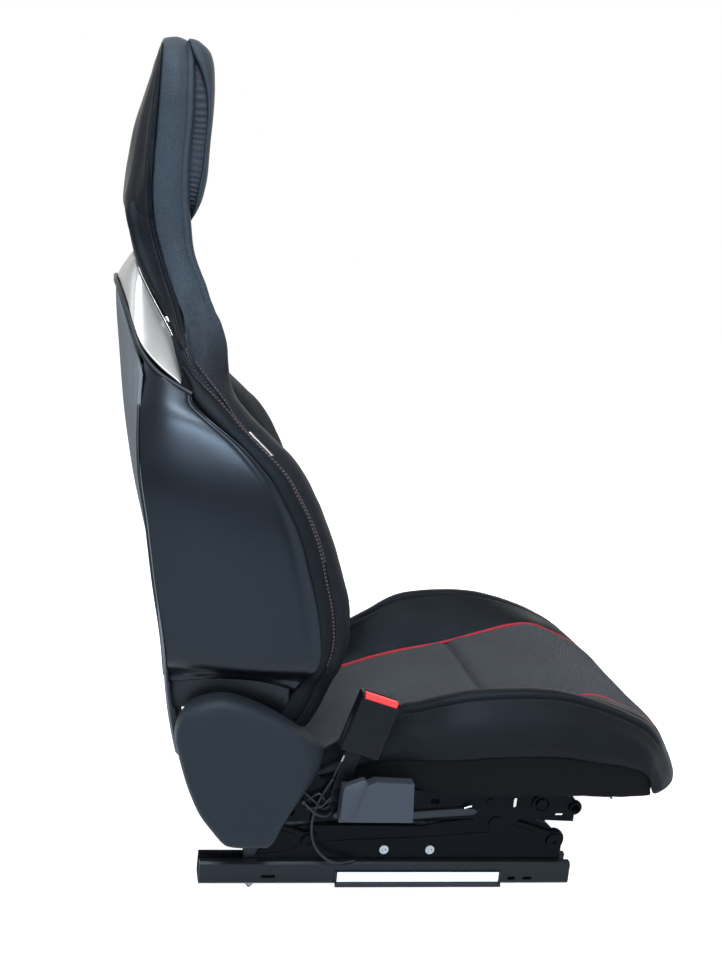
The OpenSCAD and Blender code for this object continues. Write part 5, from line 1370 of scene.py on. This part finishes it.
# Sections of the buckle, as ways out and heights: its case where it is whole, and its button
CASE = [(-12.5, 72), (-11.5, 69), (-9, 68), (9, 68), (11.5, 69), (12.5, 72), (12.5, 110), (12.5, 146),
        (12.5, 147), (12.5, 149), (12.2, 151), (11, 152), (-0.5, 152), (-2.9, 152), (-4, 152), (-7, 152),
        (-8.3, 152), (-11, 152), (-12.2, 151.3), (-12.5, 150), (-12.5, 110)]
BUTTON = [(0, 140), (10.9, 140), (10.9, 147), (10.9, 151.6), (10.5, 152.7), (9.4, 153.2), (6, 152.8),
          (3, 152.8), (0.6, 153.2), (0, 152.6), (0, 147)]


def make_buckle():
    """Buckle case with a slot and a well for the button, and the button in its upper end.

    Rows run across the width. In the middle four rows the section's notch points drop to the well's floor.
    """
    full = np.array(CASE, float)
    notch = full.copy()
    notch[8:13] = [(11.6, 146), (11.5, 145), (11.3, 132), (-0.6, 132), (-0.6, 152)]
    notch[14:16] = [(-2.9, 128), (-8.3, 128)]
    x = np.array([-28, -27.4, -26, -24.3, -24.2, -8, 8, 24.2, 24.3, 26, 27.4, 28])
    small = np.array([0.8, 0.9, 0.97, 1, 1, 1, 1, 1, 1, 0.97, 0.9, 0.8])[:, None]
    sections = np.where((np.abs(x) < 24.25)[:, None, None], notch, full)
    z = 110 + (sections[..., 1] - 110) * (0.96 + 0.04 * small)
    dress(closed_loft("buckle_case", in_buckle(-6 + x[:, None], sections[..., 0] * small, z)), "buckle",
          "buckle", ("buckle_housing",))
    face, middle = np.array(BUTTON, float), np.array([5.45, 146])
    x = np.array([-23.6, -23.2, -22, 0, 22, 23.2, 23.6])
    small = np.array([0.9, 0.97, 1, 1, 1, 0.97, 0.9])[:, None, None]
    key = middle + (face[None] - middle) * small
    dress(closed_loft("buckle_key", in_buckle(-6 + x[:, None], key[..., 0], key[..., 1])), "buckle_release",
          "button", ("buckle_button",))
    lead = line([(-85, -233, 203), (-88, -230, 190), (-92, -227, 177), (-94.5, -225, 166)], 2)
    bead("buckle_lead", lead, 1.9, "buckle", "cable")
    ferrule = line([(-85.2, -232.8, 201), (-87.4, -230.7, 192)], 1)
    bead("buckle_ferrule", ferrule, 1.8, "buckle", "zinc", 12)


# Buckle's cable from the buckle down and back in under the seat
CABLE_Y, CABLE_RADIUS = -224.5, 2.0
CABLE = [(-95, 0, 163), (-102, 0, 150), (-109, 0, 136), (-115, 0, 120), (-118, 0, 104), (-118, 0, 88),
         (-115, 0, 72), (-108, 0, 58), (-98, 0, 47), (-87, 0, 40), (-74, 2, 36.5), (-62, 6, 35.8),
         (-52, 9.5, 35.6)]


def make_cable():
    """Buckle's cable: a loop that hangs from the base beside the cover and goes back in under the seat."""
    path = line(np.array(CABLE) + [0, CABLE_Y, 0], 3)
    obj = dress(tube("buckle_cable_skin", path, CABLE_RADIUS, 12), "base", "cable",
                ("buckle_cable",))


def make_box_cap():
    """Raised cap on the connector box: a slanting outline drawn out sideways, corners cut, edges eased."""
    p = np.array([[-85, 113], [-69, 113], [-51, 167], [-57, 173], [-85, 162]], float)
    following = np.roll(p, -1, 0)
    p = np.stack([mix(p, following, 0.12), mix(p, following, 0.88)], 1).reshape(-1, 2)
    share = np.array([1, 1, 0.985, 0.95])[:, None, None]
    y = np.array([-238, -248.2, -249.3, -249.8])[:, None]
    q = p.mean(0) + (p - p.mean(0))[None] * share
    dress(closed_loft("connector_cap", points(q[..., 0], y, q[..., 1])), "base", "box")


# Wires on the base behind the cover: start, middle and end as (x, z), and radius
WIRES = [((-100, 128), (-112, 141), (-126, 131), 1.6), ((-104, 118), (-118, 130), (-133, 142), 1.3),
         ((-100, 108), (-114, 112), (-131, 125), 1.8), ((-98, 134), (-108, 124), (-128, 117), 1.2)]
# Clips: name, ends, radius, body, look and number of sides
CLIPS = [("collar_clip", [(-357, -148.5, 757), (-352, -151.5, 752)], 1.9, "backrest", "chrome", 8),
         ("base_wire_clip", [(-133, -222, 128), (-133, -227, 128)], 2.6, "base", "plastic", 14),
         ("guide_clip", [(94, -224, 121), (104, -225.5, 125)], 1.8, "base", "zinc", 10)]
LOOM = [(-172, -190, 80), (-145, -191, 80), (-118, -190, 81), (-92, -186, 80), (-40, -182, 76),
        (20, -187, 80), (70, -183, 77), (112, -186, 80)]


def make_small_parts():
    """Bare tag in the seam, bright edge and clip of the collar, wires, clips, loom and felt on the base."""
    rows = np.flatnonzero((wing_level > 601) & (wing_level < 634))[:, None]
    cols = np.arange(SEAM_AT - 11, SEAM_AT - 5)
    grid = flip_y((wing + wing_out)[rows, cols])
    dress(shell("seam_tag", grid, 1.2, 0.5, flip_y(wing_out[rows, cols])), "backrest", "tag")
    edge = resampled(collar_grid()[-1], 4)[0] + [1.2, 0, 0.6]
    bead("collar_edge", edge, 0.9, "backrest", "chrome")
    for k, (a, b, c, radius) in enumerate(WIRES):
        path = [(a[0] + 8, -221, a[1] + 3), (a[0], -224 - k, a[1]), (b[0], -226 - k, b[1]),
                (c[0], -222.5, c[1])]
        bead(f"base_wire_{k + 1}", line(path, 2), radius, "base", "cable")
    for name, ends, radius, rides, look, sides in CLIPS:
        bead(name, line(ends, 1), radius, rides, look, sides)
    loom = line(LOOM, 4)
    ends = np.r_[0.55, 0.85, np.ones(len(loom) - 4), 0.85, 0.55]
    wave = 1 + 0.05 * np.sin(np.arange(len(loom)) * 1.7)
    bead("seat_loom", loom, 8.5 * wave * ends, "slider", "cable", 14)
    x, z = np.meshgrid(np.linspace(-60, 122, 30), np.linspace(94, 131, 8))
    felt = points(x, -200 + 0.8 * np.sin(x / 11), z - 2 * ((x - 30) / 90) ** 2)
    dress(shell("base_felt", felt, 1.8, 0.6, -OUTWARDS), "base", "skirt")


make_buckle()
make_cable()
make_small_parts()
make_box_cap()


# ------------------------------------------------------------------ frame nodes that stay
NODE_LOOKS = {
    "rail": ["lower_rail_{}", "upper_rail_{}"],
    "steel": ["base_side_{}", "back_side_{}", "front_cross_tube", "rear_cross_tube", "seat_pan",
              "back_crossmembers", "frame_hoop", "link_bolts", "release_bar", "risers", "front_links",
              "rear_links", "front_torsion_tube", "rear_torsion_tube", "buckle_anchor"],
    "zinc": ["locating_pins", "rail_ball_cages", "riser_bolts", "rail_locks", "suspension_wires",
             "recliner_discs", "back_wires", "recliner_shaft"],
    "plastic": ["cable_duct", "release_grip", "wiring_guide", "outer_valance", "recline_wheel",
                "height_lever"],
    "box": ["connector_box"],
    "buckle": ["buckle_strap"],
    "label": ["label_plate"],
}
for look, names in NODE_LOOKS.items():
    for name in sorted({name.format(word) for name in names for word, side in SIDES}):
        nodes[name].data.materials.clear()
        nodes[name].data.materials.append(LOOKS[look])
